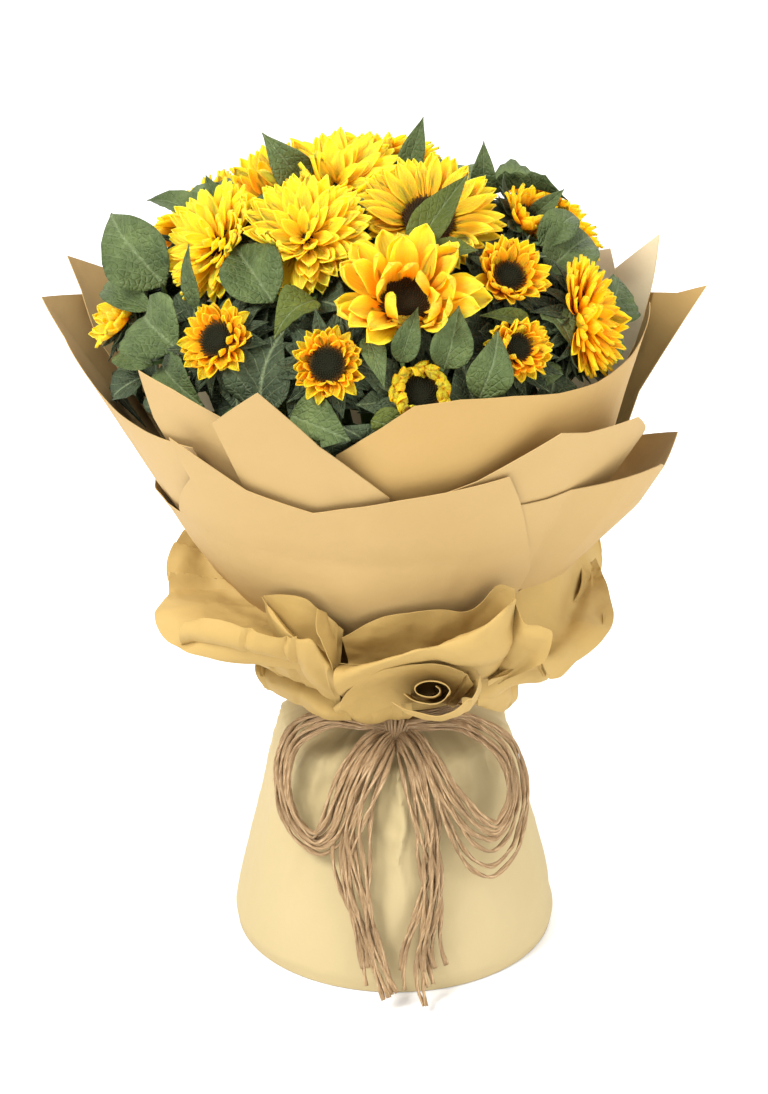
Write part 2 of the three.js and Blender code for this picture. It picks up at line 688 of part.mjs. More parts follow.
// Where a stem passes the tie, drawn in a little towards its trio so that the three touch there
function tiePoint(trio, member) {
  const places = [[1, 60 * trio], [2, 60 * trio], [Math.sqrt(3), 60 * trio + 30]]
    .map(([reach, angle]) => new THREE.Vector2(
      Math.sin(angle * degrees), -Math.cos(angle * degrees)).multiplyScalar(reach * stemPitch));
  const middle = places[0].clone().add(places[1]).add(places[2]).divideScalar(3);
  return places[member].clone().lerp(middle, 0.2);
}

function stemCurve(name) {
  const trio = trios.findIndex((names) => names.includes(name));
  const tie = tiePoint(trio, trios[trio].indexOf(name));
  const head = heads[name];
  const foot = tie.clone().rotateAround(new THREE.Vector2(), footTwist * degrees).multiplyScalar(footSpread);
  const top = new THREE.Vector3(0, 0, -12).applyMatrix4(head.matrix);
  const under = new THREE.Vector3(0, 0, -40).applyMatrix4(head.matrix);
  const aboveTie = new THREE.Vector3(tieX + tie.x * 1.5, tie.y * 1.5, tieHeight + 62);
  return [
    top, under, aboveTie,
    new THREE.Vector3(tieX + tie.x, tie.y, tieHeight),
    new THREE.Vector3(tieX + foot.x, foot.y, 0),
  ];
}

// The green back of a head: a cup that narrows to the stem, with a pointed bract from each facet of its rim
function greenCup(name, grow = 0) {
  const head = heads[name];
  const bractCount = head.rows === 2 ? 6 : 5;
  const planes = dividers(name);
  const points = [];
  const triangles = [];
  const polygon = (radius, height) => Array.from({ length: bractCount }, (_, i) => {
    const angle = ((i - 0.5) / bractCount) * 2 * Math.PI;
    return points.push(new THREE.Vector3(radius * Math.cos(angle), radius * Math.sin(angle), height)) - 1;
  });
  const upper = polygon(head.disc + 3 + grow, -plateThick - 0.4);
  const lower = polygon(head.disc + 1.5 + grow, -plateThick - 4 - grow);
  const neck = polygon(stemRadius + 2 + grow, -15);
  const slope = Math.min(head.rise - 16, 8) * degrees;
  for (let i = 0; i < bractCount; i++) {
    const next = (i + 1) % bractCount;
    const angle = (i / bractCount) * 2 * Math.PI;
    const side = new THREE.Vector3(-Math.sin(angle), Math.cos(angle), 0);
    const out = new THREE.Vector3(Math.cos(angle), Math.sin(angle), 0);
    const along = out.clone().multiplyScalar(Math.cos(slope)).setZ(Math.sin(slope));
    const up = side.clone().cross(along).negate();
    const root = out.clone().multiplyScalar(head.disc + 2).setZ(-plateThick - 2.2);
    const length = bractLength + head.disc * 0.3 + 2 * Math.sin(i * 2.1);
    const middle = root.clone().addScaledVector(along, length * 0.45);
    const tip = root.clone().addScaledVector(along, length + grow);
    const facet = [upper[i], upper[next], lower[next], lower[i]];
    if (hasRoom(head, planes, [tip, middle])) {
      const ring = flatRing(middle, side, up, 4.4 + grow, 0.9 + 2 * grow);
      const numbers = ring.map((point) => points.push(point) - 1);
      triangles.push(...skin([facet, numbers], points.push(tip) - 1, flatCrossed));
    } else {
      triangles.push(facet[1], facet[2], facet[3], facet[1], facet[3], facet[0]);
    }
    triangles.push(lower[i], lower[next], neck[next], lower[i], neck[next], neck[i]);
  }
  for (let i = 2; i < bractCount; i++) {
    triangles.push(upper[0], upper[i], upper[i - 1]);
    triangles.push(neck[0], neck[i - 1], neck[i]);
  }
  return toManifold(closedSurface(points, triangles).applyMatrix4(head.matrix));
}

// Nearest point of a stem to a place, kept below the head and above the tie
function nearestOnStem(name, place) {
  const points = stemCurve(name).slice(0, 4);
  let best = points[0];
  for (let i = 0; i + 1 < points.length; i++) {
    for (let t = 0; t <= 1; t += 0.1) {
      const point = points[i].clone().lerp(points[i + 1], t);
      if (point.distanceTo(place) < best.distanceTo(place)) best = point;
    }
  }
  return best;
}

// A leaf and its stalk in one skin: pointed, folded along the midrib, with a waved edge
function leafSolid({ stem, base, tip, wide }, grow = 0) {
  const start = onDome(...base);
  const end = onDome(...tip);
  const length = start.distanceTo(end);
  const along = end.clone().sub(start).normalize();
  const outward = start.clone().add(end).multiplyScalar(0.5).sub(domeCentre).normalize();
  const side = along.clone().cross(outward).normalize();
  const up = side.clone().cross(along).normalize();
  const rings = [];
  for (const [share, width, wave] of [[0, 0.16, 0.2], [0.3, 1, 0.32], [0.66, 0.74, 0.06]]) {
    const arch = Math.sin(share * Math.PI) * length * 0.1;
    const centre = start.clone().addScaledVector(along, share * length).addScaledVector(up, arch);
    const half = width * wide / 2 + grow;
    rings.push(foldedRing(centre, side, up, half, leafThick + 2 * grow, half * wave, half * (0.42 - wave)));
  }
  const root = nearestOnStem(stem, start.clone().addScaledVector(outward, -34));
  const stalkUp = side.clone().cross(start.clone().sub(root).normalize()).normalize();
  rings.unshift(foldedRing(root, side, stalkUp, 1.7 + grow, 2.4 + 2 * grow, 0, 0));
  return toManifold(loft(rings, end.clone().addScaledVector(along, grow), foldedCrossed));
}

function leafyStems(trio, grow = 0) {
  const solids = [];
  for (const name of trio) {
    solids.push(toManifold(rod(stemCurve(name), stemRadius + grow, 5, new THREE.Vector3(0, 0, -1))));
    solids.push(greenCup(name, grow));
  }
  for (const leaf of leaves.filter(({ stem }) => trio.includes(stem))) solids.push(leafSolid(leaf, grow));
  return joined(solids);
}

// Ruffled collar and skirt: one sheet's worth of paper gathered at the tie

// A ring of paper through a list of levels, open at both ends
function paperRing(levels, around, folds, squash) {
  const points = [];
  for (const face of [1, -1]) {
    for (let i = 0; i < around; i++) {
      const turn = (i / around) * 2 * Math.PI;
      const front = Math.max(Math.cos(turn), 0) ** 1.5;
      levels.forEach(([radius, height, ruffle, lift = 0, frontLift = 0], k) => {
        const before = levels[Math.max(k - 1, 0)];
        const after = levels[Math.min(k + 1, levels.length - 1)];
        const slope = Math.atan2(after[1] - before[1], after[0] - before[0]);
        const wave = folds(turn);
        const r = radius + ruffle * wave + face * paperThick / 2 * Math.sin(slope);
        const z = height + lift * wave + frontLift * front - face * paperThick / 2 * Math.cos(slope);
        points.push(new THREE.Vector3(
          axisX(height) + r * Math.sin(turn), -r * Math.cos(turn) * (k ? squash : 1), height ? z : 0));
      });
    }
  }
  const rows = levels.length;
  const span = around * rows;
  const triangles = [];
  for (let i = 0; i < around; i++) {
    const next = (i + 1) % around;
    for (let k = 0; k + 1 < rows; k++) {
      const a = i * rows + k;
      const b = next * rows + k;
      triangles.push(a, b, b + 1, a, b + 1, a + 1);
      triangles.push(span + a, span + b + 1, span + b, span + a, span + a + 1, span + b + 1);
    }
    const foot = [i * rows, next * rows];
    const rim = [i * rows + rows - 1, next * rows + rows - 1];
    triangles.push(foot[0], span + foot[0], span + foot[1], foot[0], span + foot[1], foot[1]);
    triangles.push(rim[0], span + rim[1], span + rim[0], rim[0], rim[1], span + rim[1]);
  }
  return closedSurface(points, triangles);
}

// Levels are [radius, height, ruffle outwards, ruffle upwards, lift at the front]
const collarLevels = [[46.1, 194, 0], [108, 210, 5, 3, 12], [152, 236, 8, 4, 24], [152, 264, 6, 4, 30],
  [144, 288, 5, 6, 30]];
const skirtLevels = [[114, 0, 0], [116, 10, 0.6], [104, 70, 1.6], [90, 130, 2.6], [80, 160, 2.4],
  [46, 172, 0], [44.5, 198, 0],
  [41.9, 207, 0]];

function collarSolid() {
  return paperRing(collarLevels, 30, (turn) => Math.sin(9 * turn) * 0.7 + Math.sin(5 * turn + 1) * 0.5, 0.94);
}

function skirtSolid() {
  return paperRing(skirtLevels, 22, (turn) => Math.sin(6 * turn + 0.6), 1);
}

// Twine: the band round the neck with its knot, and the bow's loops and tails as bundles of strands
const bandRadius = 48.2;
const bow = {
  twine_loop_left: [
    [4, -62.9, 185], [-14, -69.4, 193], [-32, -71.4, 196], [-50, -69.4, 187], [-63, -67.4, 172],
    [-69, -69.4, 152], [-66, -79.4, 127], [-54, -89.4, 114], [-40, -96.4, 112], [-29, -99.4, 126],
    [-21, -93.4, 153], [-10, -78.4, 173], [-1, -67.4, 178],
  ],
  twine_loop_right: [
    [24, -62.9, 185], [40, -68.4, 190], [58, -69.4, 192], [78, -69.4, 181], [94, -69.4, 168],
    [102, -71.4, 150], [103, -77.4, 133], [96, -87.4, 119], [84, -93.4, 114], [68, -98.4, 124],
    [52, -97.4, 146], [38, -83.4, 167], [29, -67.4, 178],
  ],
  twine_tail_left: [
    [9, -72.4, 171], [3, -84, 170], [-6, -92.4, 152], [-13, -99.4, 132], [-15, -105.4, 108],
    [-11, -111.4, 78], [-3, -120.4, 42], [6, -131.4, 14], [13, -139.4, 6.5],
  ],
  twine_tail_right: [
    [19, -72.4, 171], [26, -84, 170], [33, -92.4, 152], [39, -99.4, 132], [41, -105.4, 106],
    [40, -111.4, 74], [33, -120.4, 38], [34, -130.4, 13], [37, -137.4, 6.5],
  ],
};

function twineTube(points) {
  const curve = new THREE.CatmullRomCurve3(points.map(([x, y, z]) => new THREE.Vector3(x, y, z)));
  const section = new THREE.Shape();
  section.absarc(0, 0, twineBundle / 2, 0, 2 * Math.PI);
  const steps = Math.round(curve.getLength() / (2.2 * twineBundle));
  return new THREE.ExtrudeGeometry(section, {
    steps,
    curveSegments: 4,
    bevelEnabled: false,
    extrudePath: curve,
  });
}

function twineKnot() {
  const ridges = [];
  for (let turn = 0; turn < 2; turn++) {
    const z = tieHeight - 7 + turn * 7;
    ridges.push([bandRadius + 1.6, z], [bandRadius + 3.4, z + 3.5]);
  }
  const top = tieHeight - 7 + 2 * 7;
  const profile = [[bandRadius, tieHeight - 7], ...ridges, [bandRadius + 1.6, top], [bandRadius, top],
    [bandRadius, tieHeight - 7]];
  const band = turned(profile, 20).translate(tieX, 0, 0);
  const knot = new THREE.SphereGeometry(1, 10, 6)
    .scale(13, 9, 11)
    .translate(tieX, -bandRadius - 7, tieHeight);
  return joined([toManifold(band), toManifold(knot)]);
}

// Materials

function finish(color, roughness) {
  return new THREE.MeshStandardMaterial({ color, roughness, metalness: 0 });
}

const finishes = {
  petals: finish(0xf7b51d, 0.6),
  disc: finish(0x2a1a0e, 0.9),
  green: finish(0x4c6a33, 0.7),
  kraft: finish(0xdcc084, 0.8),
  cream: finish(0xe9d9a8, 0.8),
  twine: finish(0xa5886a, 0.95),
};

// Scene

const bunch = new THREE.Group();

function place(name, geometry, material, parent = bunch) {
  const mesh = new THREE.Mesh(geometry, material);
  mesh.name = name;
  parent.add(mesh);
  return mesh;
}

const sheetSolids = {};
for (const [name, sheet] of Object.entries(sheets)) {
  sheetSolids[name] = toManifold(sheetSolid(sheet, clear));
  place(name, sheetSolid(sheet), finishes.kraft);
}
place('paper_collar', collarSolid(), finishes.kraft);
place('paper_skirt', skirtSolid(), finishes.cream);

const taken = [];
for (const [name, head] of Object.entries(heads)) {
  const group = new THREE.Group();
  group.position.copy(head.centre);
  group.quaternion.copy(head.turn);
  bunch.add(group);
  place(`petals_${name}`, rayPetals(name), finishes.petals, group);
  place(`disc_${name}`, discGeometry(head), finishes.disc, group);
  taken.push(toManifold(toGeometry(headRoom(name)).applyMatrix4(head.matrix)));
}

const keepOut = joined([...taken, ...Object.values(sheetSolids)]);
let greens = null;
trios.forEach((trio, i) => {
  let solid = leafyStems(trio).subtract(keepOut);
  if (greens) solid = solid.subtract(greens);
  place(`leafy_stems_${i + 1}`, toGeometry(largestPiece(solid)), finishes.green);
  const grown = leafyStems(trio, clear);
  greens = greens ? greens.add(grown) : grown;
});

for (const [name, points] of Object.entries(bow)) place(name, twineTube(points), finishes.twine);
place('twine_knot', toGeometry(twineKnot()), finishes.twine);

export default bunch;
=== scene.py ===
import math
import random

import bpy
import numpy as np
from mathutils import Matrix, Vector, noise
from mathutils.bvhtree import BVHTree


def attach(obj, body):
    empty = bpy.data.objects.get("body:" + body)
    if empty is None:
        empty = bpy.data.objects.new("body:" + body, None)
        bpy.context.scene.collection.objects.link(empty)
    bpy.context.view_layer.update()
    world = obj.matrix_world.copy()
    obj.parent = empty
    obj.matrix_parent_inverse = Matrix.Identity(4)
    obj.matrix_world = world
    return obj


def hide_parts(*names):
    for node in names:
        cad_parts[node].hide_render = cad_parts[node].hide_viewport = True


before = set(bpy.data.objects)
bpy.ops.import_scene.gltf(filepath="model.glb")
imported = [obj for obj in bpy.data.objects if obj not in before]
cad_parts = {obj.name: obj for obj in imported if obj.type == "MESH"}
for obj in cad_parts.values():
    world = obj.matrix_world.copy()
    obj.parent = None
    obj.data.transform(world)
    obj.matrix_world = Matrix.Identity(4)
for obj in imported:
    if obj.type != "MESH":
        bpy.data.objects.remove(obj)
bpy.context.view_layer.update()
mm = 0.001


# Camera and light

camera = {"place": (6.3, -2300, 1380), "target": (6.3, 0, 294), "lens": 119.45, "sensor": 36, "farthest": 50}
lights = [
    {"name": "keyLight", "place": (-1700, -1500, 2500), "size": 1.1, "power": 112},
    {"name": "fillLight", "place": (1900, -1600, 1300), "size": 2.2, "power": 38},
    {"name": "backLight", "place": (300, 1900, 1900), "size": 1.8, "power": 30},
]
studio = {"sky": 1.04, "transform": "Standard", "aim": (0, 0, 300)}


def placeAimed(name, data, place, target):
    thing = bpy.data.objects.new(name, data)
    bpy.context.collection.objects.link(thing)
    thing.location = Vector(place) * mm
    thing.rotation_euler = (Vector(target) * mm - thing.location).to_track_quat("-Z", "Y").to_euler()
    return thing


def addCamera():
    data = bpy.data.cameras.new("camera")
    data.lens = camera["lens"]
    data.sensor_width = camera["sensor"]
    data.clip_end = camera["farthest"]
    bpy.context.scene.camera = placeAimed("camera", data, camera["place"], camera["target"])


def addLights():
    for light in lights:
        data = bpy.data.lights.new(light["name"], "AREA")
        data.size = light["size"]
        data.energy = light["power"]
        placeAimed(light["name"], data, light["place"], studio["aim"])
    world = bpy.data.worlds.new("studio")
    world.use_nodes = True
    sky = world.node_tree.nodes["Background"].inputs
    sky["Color"].default_value = (1, 1, 1, 1)
    sky["Strength"].default_value = studio["sky"]
    bpy.context.scene.world = world
    bpy.context.scene.view_settings.view_transform = studio["transform"]


addCamera()
addLights()
print("camera and lights")


# Materials

class Signal:
    # What a shader node puts out. Arithmetic with signals makes the nodes that work it out.
    def __init__(self, socket):
        self.socket = socket

    def __add__(self, other):
        return combine("ADD", self, other)

    def __sub__(self, other):
        return combine("SUBTRACT", self, other)

    def __rsub__(self, other):
        return combine("SUBTRACT", other, self)

    def __mul__(self, other):
        return combine("MULTIPLY", self, other)

    def __pow__(self, other):
        return combine("POWER", self, other)

    def __abs__(self):
        return combine("ABSOLUTE", self)


def node(tree, kind, inputs, output, **settings):
    made = tree.nodes.new(kind)
    for key, value in settings.items():
        setattr(made, key, value)
    for key, value in inputs.items():
        if isinstance(value, Signal):
            tree.links.new(value.socket, made.inputs[key])
        else:
            made.inputs[key].default_value = value
    return Signal(made.outputs[output])


def combine(operation, a, b=0.0):
    tree = (a if isinstance(a, Signal) else b).socket.id_data
    return node(tree, "ShaderNodeMath", {0: a, 1: b}, 0, operation=operation)


def capped(signal):
    return combine("MINIMUM", signal, 1.0)


def sine(signal):
    return combine("SINE", signal)


def ramp(tree, factor, stops):
    made = node(tree, "ShaderNodeValToRGB", {"Fac": factor}, "Color")
    elements = made.socket.node.color_ramp.elements
    while len(elements) < len(stops):
        elements.new(0.5)
    for element, (place, color) in zip(elements, stops):
        element.position = place
        element.color = (*color, 1)
    return made


def mixColor(tree, factor, a, b, blend="MIX"):
    a, b = [value if isinstance(value, Signal) else (*value, 1) for value in (a, b)]
    return node(tree, "ShaderNodeMix", {0: factor, 6: a, 7: b}, 2, data_type="RGBA", blend_type=blend)


def objectPlace(tree):
    return node(tree, "ShaderNodeTexCoord", {}, "Object")


def uvParts(tree):
    uv = node(tree, "ShaderNodeUVMap", {}, "UV", uv_map="UVMap")
    return [uv] + [node(tree, "ShaderNodeSeparateXYZ", {"Vector": uv}, axis) for axis in "XY"]


def noiseAt(tree, place, stretch, scale, detail=3, roughness=0.5):
    mapped = node(tree, "ShaderNodeMapping", {"Vector": place, "Scale": stretch}, "Vector")
    return node(tree, "ShaderNodeTexNoise",
                {"Vector": mapped, "Scale": scale, "Detail": detail, "Roughness": roughness}, "Fac")


def objectNoise(tree, scale, detail=3, roughness=0.5, stretch=(1, 1, 1)):
    return noiseAt(tree, objectPlace(tree), stretch, scale, detail, roughness)


def newMaterial(name, roughness, specular):
    material = bpy.data.materials.new(name)
    material.use_nodes = True
    tree = material.node_tree
    shader = tree.nodes["Principled BSDF"]
    shader.inputs["Roughness"].default_value = roughness
    shader.inputs["Specular IOR Level"].default_value = specular
    return material, tree, shader


def dress(shader, color, height, strength, distance):
    # The colour of a material and the fine relief on it
    tree = shader.id_data
    relief = {"Height": height, "Strength": strength, "Distance": distance}
    tree.links.new(color.socket, shader.inputs["Base Color"])
    tree.links.new(node(tree, "ShaderNodeBump", relief, "Normal").socket, shader.inputs["Normal"])


petalColors = {
    "lemonPetal": [(0.0, (1.0, 0.38, 0.008)), (0.3, (1.0, 0.52, 0.020)), (0.75, (1.0, 0.58, 0.035)),
                   (1.0, (1.0, 0.60, 0.045))],
    "goldPetal": [(0.0, (0.96, 0.26, 0.005)), (0.3, (1.0, 0.40, 0.014)), (0.7, (1.0, 0.48, 0.028)),
                  (1.0, (1.0, 0.52, 0.038))],
    "orangePetal": [(0.0, (0.66, 0.14, 0.002)), (0.3, (0.97, 0.29, 0.005)), (0.7, (1.0, 0.38, 0.012)),
                    (1.0, (1.0, 0.44, 0.020))],
}


def petalMaterial(name, stops):
    material, tree, shader = newMaterial(name, 0.62, 0.10)
    uv, across, along = uvParts(tree)
    streak = noiseAt(tree, uv, (14, 0.9, 1), 1.6)
    color = ramp(tree, along + (objectNoise(tree, 22, 2) - 0.5) * 0.5, stops)
    color = mixColor(tree, streak * 0.3, color, (1.0, 0.66, 0.3), "MULTIPLY")
    shader.inputs["Subsurface Weight"].default_value = 0.85
    shader.inputs["Subsurface Scale"].default_value = 0.009
    shader.inputs["Subsurface Radius"].default_value = (1.0, 0.45, 0.06)
    dress(shader, color, sine(across * 50.0) * 0.5 + streak, 0.28, 0.0005)
    return material


def leafMaterial(name, dark, light, olive, veins=0.30):
    material, tree, shader = newMaterial(name, 0.60, 0.30)
    across, along = uvParts(tree)[1:]
    side = abs(across - 0.5)
    # Side veins arch towards the tip and wander a little
    wander = (objectNoise(tree, 70, 2) - 0.5) * 0.10
    slanted = along - (side * 1.25 - side * side * 0.9) + wander
    vein = ((sine(slanted * 36.0) + 1.0) * 0.5) ** 26.0 * (1.0 - side * 1.5)
    midrib = (1.0 - capped(side * 22.0)) ** 1.2
    pale = capped(vein * 0.6 + midrib)
    cells = node(tree, "ShaderNodeTexVoronoi", {"Vector": objectPlace(tree), "Scale": 230.0}, "Distance",
                 feature="DISTANCE_TO_EDGE")
    net = 1.0 - capped(cells * 5.0)
    middle = [a * 0.55 + b * 0.45 for a, b in zip(dark, light)]
    body = ramp(tree, objectNoise(tree, 34, 5, 0.6), [(0.30, dark), (0.52, middle), (0.72, light)])
    body = mixColor(tree, objectNoise(tree, 9, 1) * 0.4, body, olive)
    body = mixColor(tree, net * 0.22, body, light)
    color = mixColor(tree, pale * veins, body, (0.32, 0.39, 0.20))
    dress(shader, color, objectNoise(tree, 900, 2) * 0.3 - (pale + net * 0.5), 0.85, 0.0014)
    return material


def stemMaterial(name, dark, light):
    material, tree, shader = newMaterial(name, 0.65, 0.25)
    color = mixColor(tree, objectNoise(tree, 60, 4, stretch=(1, 1, 0.15)), dark, light)
    dress(shader, color, objectNoise(tree, 700, 3, stretch=(1, 1, 0.2)), 0.5, 0.0008)
    return material


def floretMaterial(name, dark, middle, tip):
    material, tree, shader = newMaterial(name, 0.85, 0.15)
    outwards, upwards = uvParts(tree)[1:]
    ring = ramp(tree, outwards, [(0.0, dark), (0.55, dark), (0.82, middle), (1.0, tip)])
    # Painted light: each floret is lighter towards its tip and darker at its base, as painted shade between
    # the florets
    paintedLitTips = mixColor(tree, upwards * 0.55, ring, middle)
    color = mixColor(tree, objectNoise(tree, 500, 3), paintedLitTips, dark)
    dress(shader, color, objectNoise(tree, 2500, 2), 0.5, 0.0005)
    return material


def paperMaterial(name, dark, light, grain):
    material, tree, shader = newMaterial(name, 0.7, 0.22)
    color = mixColor(tree, objectNoise(tree, 5, 3), dark, light)
    color = mixColor(tree, objectNoise(tree, 420, 4, 0.7) * (grain * 2), color, (0.45, 0.30, 0.13))
    crumple = objectNoise(tree, 38, 3, 0.55) * 0.9 + objectNoise(tree, 1500, 2, 0.6) * 0.06
    dress(shader, color, crumple, 0.28, 0.0035)
    return material


def twineMaterial(name):
    # Two plies with painted shade in the grooves between them, and pale fibres that run along
    material, tree, shader = newMaterial(name, 0.9, 0.12)
    uv, around = uvParts(tree)[:2]
    groove = abs(sine(around * 6.2832)) ** 2.0
    fibre = noiseAt(tree, uv, (26, 1.1, 1), 1.0, 3, 0.65)
    color = ramp(tree, fibre, [(0.35, (0.085, 0.042, 0.017)), (0.47, (0.36, 0.22, 0.105)),
                               (0.63, (0.70, 0.51, 0.31))])
    # Painted shade: the colour darkens where the two plies pinch together
    color = mixColor(tree, groove * 0.55, color, (0.15, 0.08, 0.03))
    color = mixColor(tree, objectNoise(tree, 55, 2) * 0.3, color, (0.52, 0.36, 0.20))
    dress(shader, color, fibre, 0.9, 0.0010)
    return material


finishes = {name: petalMaterial(name, stops) for name, stops in petalColors.items()}
finishes.update({
    "leaf": leafMaterial("leafGreen", (0.010, 0.026, 0.008), (0.135, 0.182, 0.060), (0.088, 0.12, 0.011)),
    "oliveLeaf": leafMaterial("oliveGreen", (0.028, 0.047, 0.004), (0.115, 0.14, 0.018),
                              (0.10, 0.115, 0.006)),
    # Dark green of the bracts, fillers and low leaves: partly their own darker green, partly painted shade
    # deep in the bunch
    "bract": leafMaterial("bractGreen", (0.006, 0.013, 0.007), (0.070, 0.098, 0.042),
                          (0.032, 0.047, 0.012), 0.5),
    "stem": stemMaterial("greenStem", (0.042, 0.094, 0.022), (0.14, 0.215, 0.06)),
    "darkDisc": floretMaterial("darkFlorets", (0.018, 0.014, 0.005), (0.050, 0.026, 0.007),
                               (0.11, 0.040, 0.006)),
    "warmDisc": floretMaterial("warmFlorets", (0.010, 0.011, 0.004), (0.026, 0.020, 0.006),
                               (0.30, 0.12, 0.010)),
    "kraft": paperMaterial("kraftPaper", (0.375, 0.240, 0.083), (0.485, 0.340, 0.150), 0.16),
    # Partly the paler back side of the paper, partly painted light on inner faces that lie in shade
    "paleKraft": paperMaterial("paleKraftPaper", (0.60, 0.50, 0.30), (0.70, 0.60, 0.40), 0.06),
    # Painted shade: a darker, more golden copy of the kraft for sheets that turn away from the light
    "goldKraft": paperMaterial("kraftPaintedShadePaper", (0.380, 0.228, 0.062), (0.485, 0.320, 0.118), 0.16),
    "frill": paperMaterial("goldenPaper", (0.31, 0.185, 0.034), (0.51, 0.365, 0.140), 0.14),
    "cream": paperMaterial("creamPaper", (0.39, 0.310, 0.145), (0.47, 0.38, 0.215), 0.08),
    "jute": twineMaterial("jute"),
})
print("materials")


# Meshes

def selectOnly(*pieces):
    for thing in bpy.context.selected_objects:
        thing.select_set(False)
    for piece in pieces:
        piece.select_set(True)
        bpy.context.view_layer.objects.active = piece


def makePiece(name, points, faces, materials, nodes, uvs, slots=None):
    mesh = bpy.data.meshes.new(name)
    mesh.from_pydata((np.asarray(points, float) * mm).tolist(), [], [tuple(map(int, face)) for face in faces])
    corners = np.empty(len(mesh.loops), np.int32)
    mesh.loops.foreach_get("vertex_index", corners)
    mesh.uv_layers.new(name="UVMap").data.foreach_set("uv", np.asarray(uvs, np.float32)[corners].ravel())
    mesh.polygons.foreach_set("use_smooth", [True] * len(mesh.polygons))
    piece = bpy.data.objects.new(name, mesh)
    bpy.context.collection.objects.link(piece)
    for material in materials:
        mesh.materials.append(material)
    if slots:
        mesh.polygons.foreach_set("material_index", slots)
    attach(piece, "root")
    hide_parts(*nodes)
    return piece


def thicken(piece, thickness, **settings):
    selectOnly(piece)
    modifier = piece.modifiers.new("thickness", "SOLIDIFY")
    modifier.thickness = thickness * mm
    modifier.offset = 0
    for key, value in settings.items():
        setattr(modifier, key, value)
    bpy.ops.object.modifier_apply(modifier=modifier.name)


def crispEdges(piece, degrees=24):
    # Smooth faces with a crisp line wherever the surface turns sharply, as at the cut edge of paper
    selectOnly(piece)
    bpy.ops.object.shade_smooth_by_angle(angle=math.radians(degrees))


def takeMesh(thing, keeps=lambda face: True):
    # The points and faces of an object that was modelled once, which then goes
    bpy.ops.object.transform_apply(location=True, rotation=True, scale=True)
    points = np.array([vertex.co[:] for vertex in thing.data.vertices])
    faces = [tuple(face.vertices) for face in thing.data.polygons if keeps(face)]
    bpy.data.objects.remove(thing, do_unlink=True)
    return points, faces


def bladeTemplate(columns, rows, shape):
    # A flat blade: a grid whose rows are drawn in and lifted by a formula
    selectOnly()
    bpy.ops.mesh.primitive_grid_add(x_subdivisions=columns, y_subdivisions=rows, size=1, location=(0, 0.5, 0))
    points, faces = takeMesh(bpy.context.object)
    points = np.array([shape(x * 2, y) for x, y, z in points], np.float32).astype(float)
    uvs = np.column_stack([np.clip(points[:, 0] * 0.5 + 0.5, 0, 1), points[:, 1]])
    return points, faces, uvs


def gridFaces(count, rings, closed=True, flip=False, start=0):
    # Faces of a skin through rings of count points each
    faces = []
    for r in range(rings - 1):
        for k in range(count if closed else count - 1):
            a = start + r * count + k
            b = start + r * count + (k + 1) % count
            faces.append((a, a + count, b + count, b) if flip else (a, b, b + count, a + count))
    return faces


class Builder:
    # Collects copies of the templates into one mesh
    def __init__(self):
        self.points = []
        self.faces = []
        self.uvs = []
        self.slots = []
        self.count = 0

    def add(self, points, faces, uvs, slot=0):
        self.points.append(np.asarray(points, float))
        self.uvs.append(np.asarray(uvs, float))
        self.faces.extend([tuple(i + self.count for i in face) for face in faces])
        self.slots.extend([slot] * len(faces))
        self.count += len(points)

    def piece(self, name, materials, slot, nodes):
        points, uvs = np.vstack(self.points), np.vstack(self.uvs)
        return makePiece(name, points, self.faces, materials, nodes, uvs, self.slots)


def tube(path, radii, sides, up=Vector((0, 0, 1)), twist=0.0, lobes=0.0):
    # A closed tube along a path; lobes presses its section into two plies that twist round each other
    points, uvs = [], []
    side = None
    length = 0.0
    for i, (centre, radius) in enumerate(zip(path, np.broadcast_to(radii, len(path)))):
        along = (path[min(i + 1, len(path) - 1)] - path[max(i - 1, 0)]).normalized()
        if i:
            length += (centre - path[i - 1]).length
        side = (up.cross(along) if side is None else side - along * side.dot(along)).normalized()
        over = along.cross(side)
        for k in range(sides):
            turn = 2 * math.pi * k / sides
            local = float(radius) * (1 + lobes * math.cos(2 * turn))
            angle = turn + twist * length
            points.append(centre + side * (local * math.cos(angle)) + over * (local * math.sin(angle)))
            uvs.append((k / sides, length / 10))
    faces = gridFaces(sides, len(path))
    faces.append(tuple(reversed(range(sides))))
    faces.append(tuple(len(points) - sides + k for k in range(sides)))
    return points, faces, uvs


def betweenFour(p0, p1, p2, p3, t):
    # The place at t of the way from p1 to p2 on a smooth curve through all four
    return 0.5 * ((2 * p1) + (p2 - p0) * t + (2 * p0 - 5 * p1 + 4 * p2 - p3) * t * t
                  + (3 * p1 - p0 - 3 * p2 + p3) * t * t * t)


def spline(points, step):
    # Points every step along a smooth curve through the given ones
    knots = [Vector(p) for p in points]
    knots = [knots[0] * 2 - knots[1]] + knots + [knots[-1] * 2 - knots[-2]]
    fine = 24
    dense = [betweenFour(*knots[i - 1:i + 3], k / fine)
             for i in range(1, len(knots) - 2) for k in range(fine)]
    dense.append(knots[-2])
    lengths = [0.0]
    for a, b in zip(dense, dense[1:]):
        lengths.append(lengths[-1] + (b - a).length)
    count = max(int(round(lengths[-1] / step)), 2)
    result = []
    j = 0
    for k in range(count + 1):
        want = lengths[-1] * k / count
        while j + 2 < len(lengths) and lengths[j + 1] < want:
            j += 1
        span = lengths[j + 1] - lengths[j]
        result.append(dense[j].lerp(dense[j + 1], (want - lengths[j]) / span if span else 0))
    return result


def clamp(value):
    return min(max(value, 0), 1)


# Places shared with the solids, in millimetres

bunch = {"centre": Vector((-2, 0, 358)), "radius": 212, "tie": 182, "tieX": 14, "mouth": 475,
         "depthShare": 0.86}
coneHeights = (205, 240, 290, 343)
coneRadii = (44, 76, 112, 144)
coneSlope = 0.631
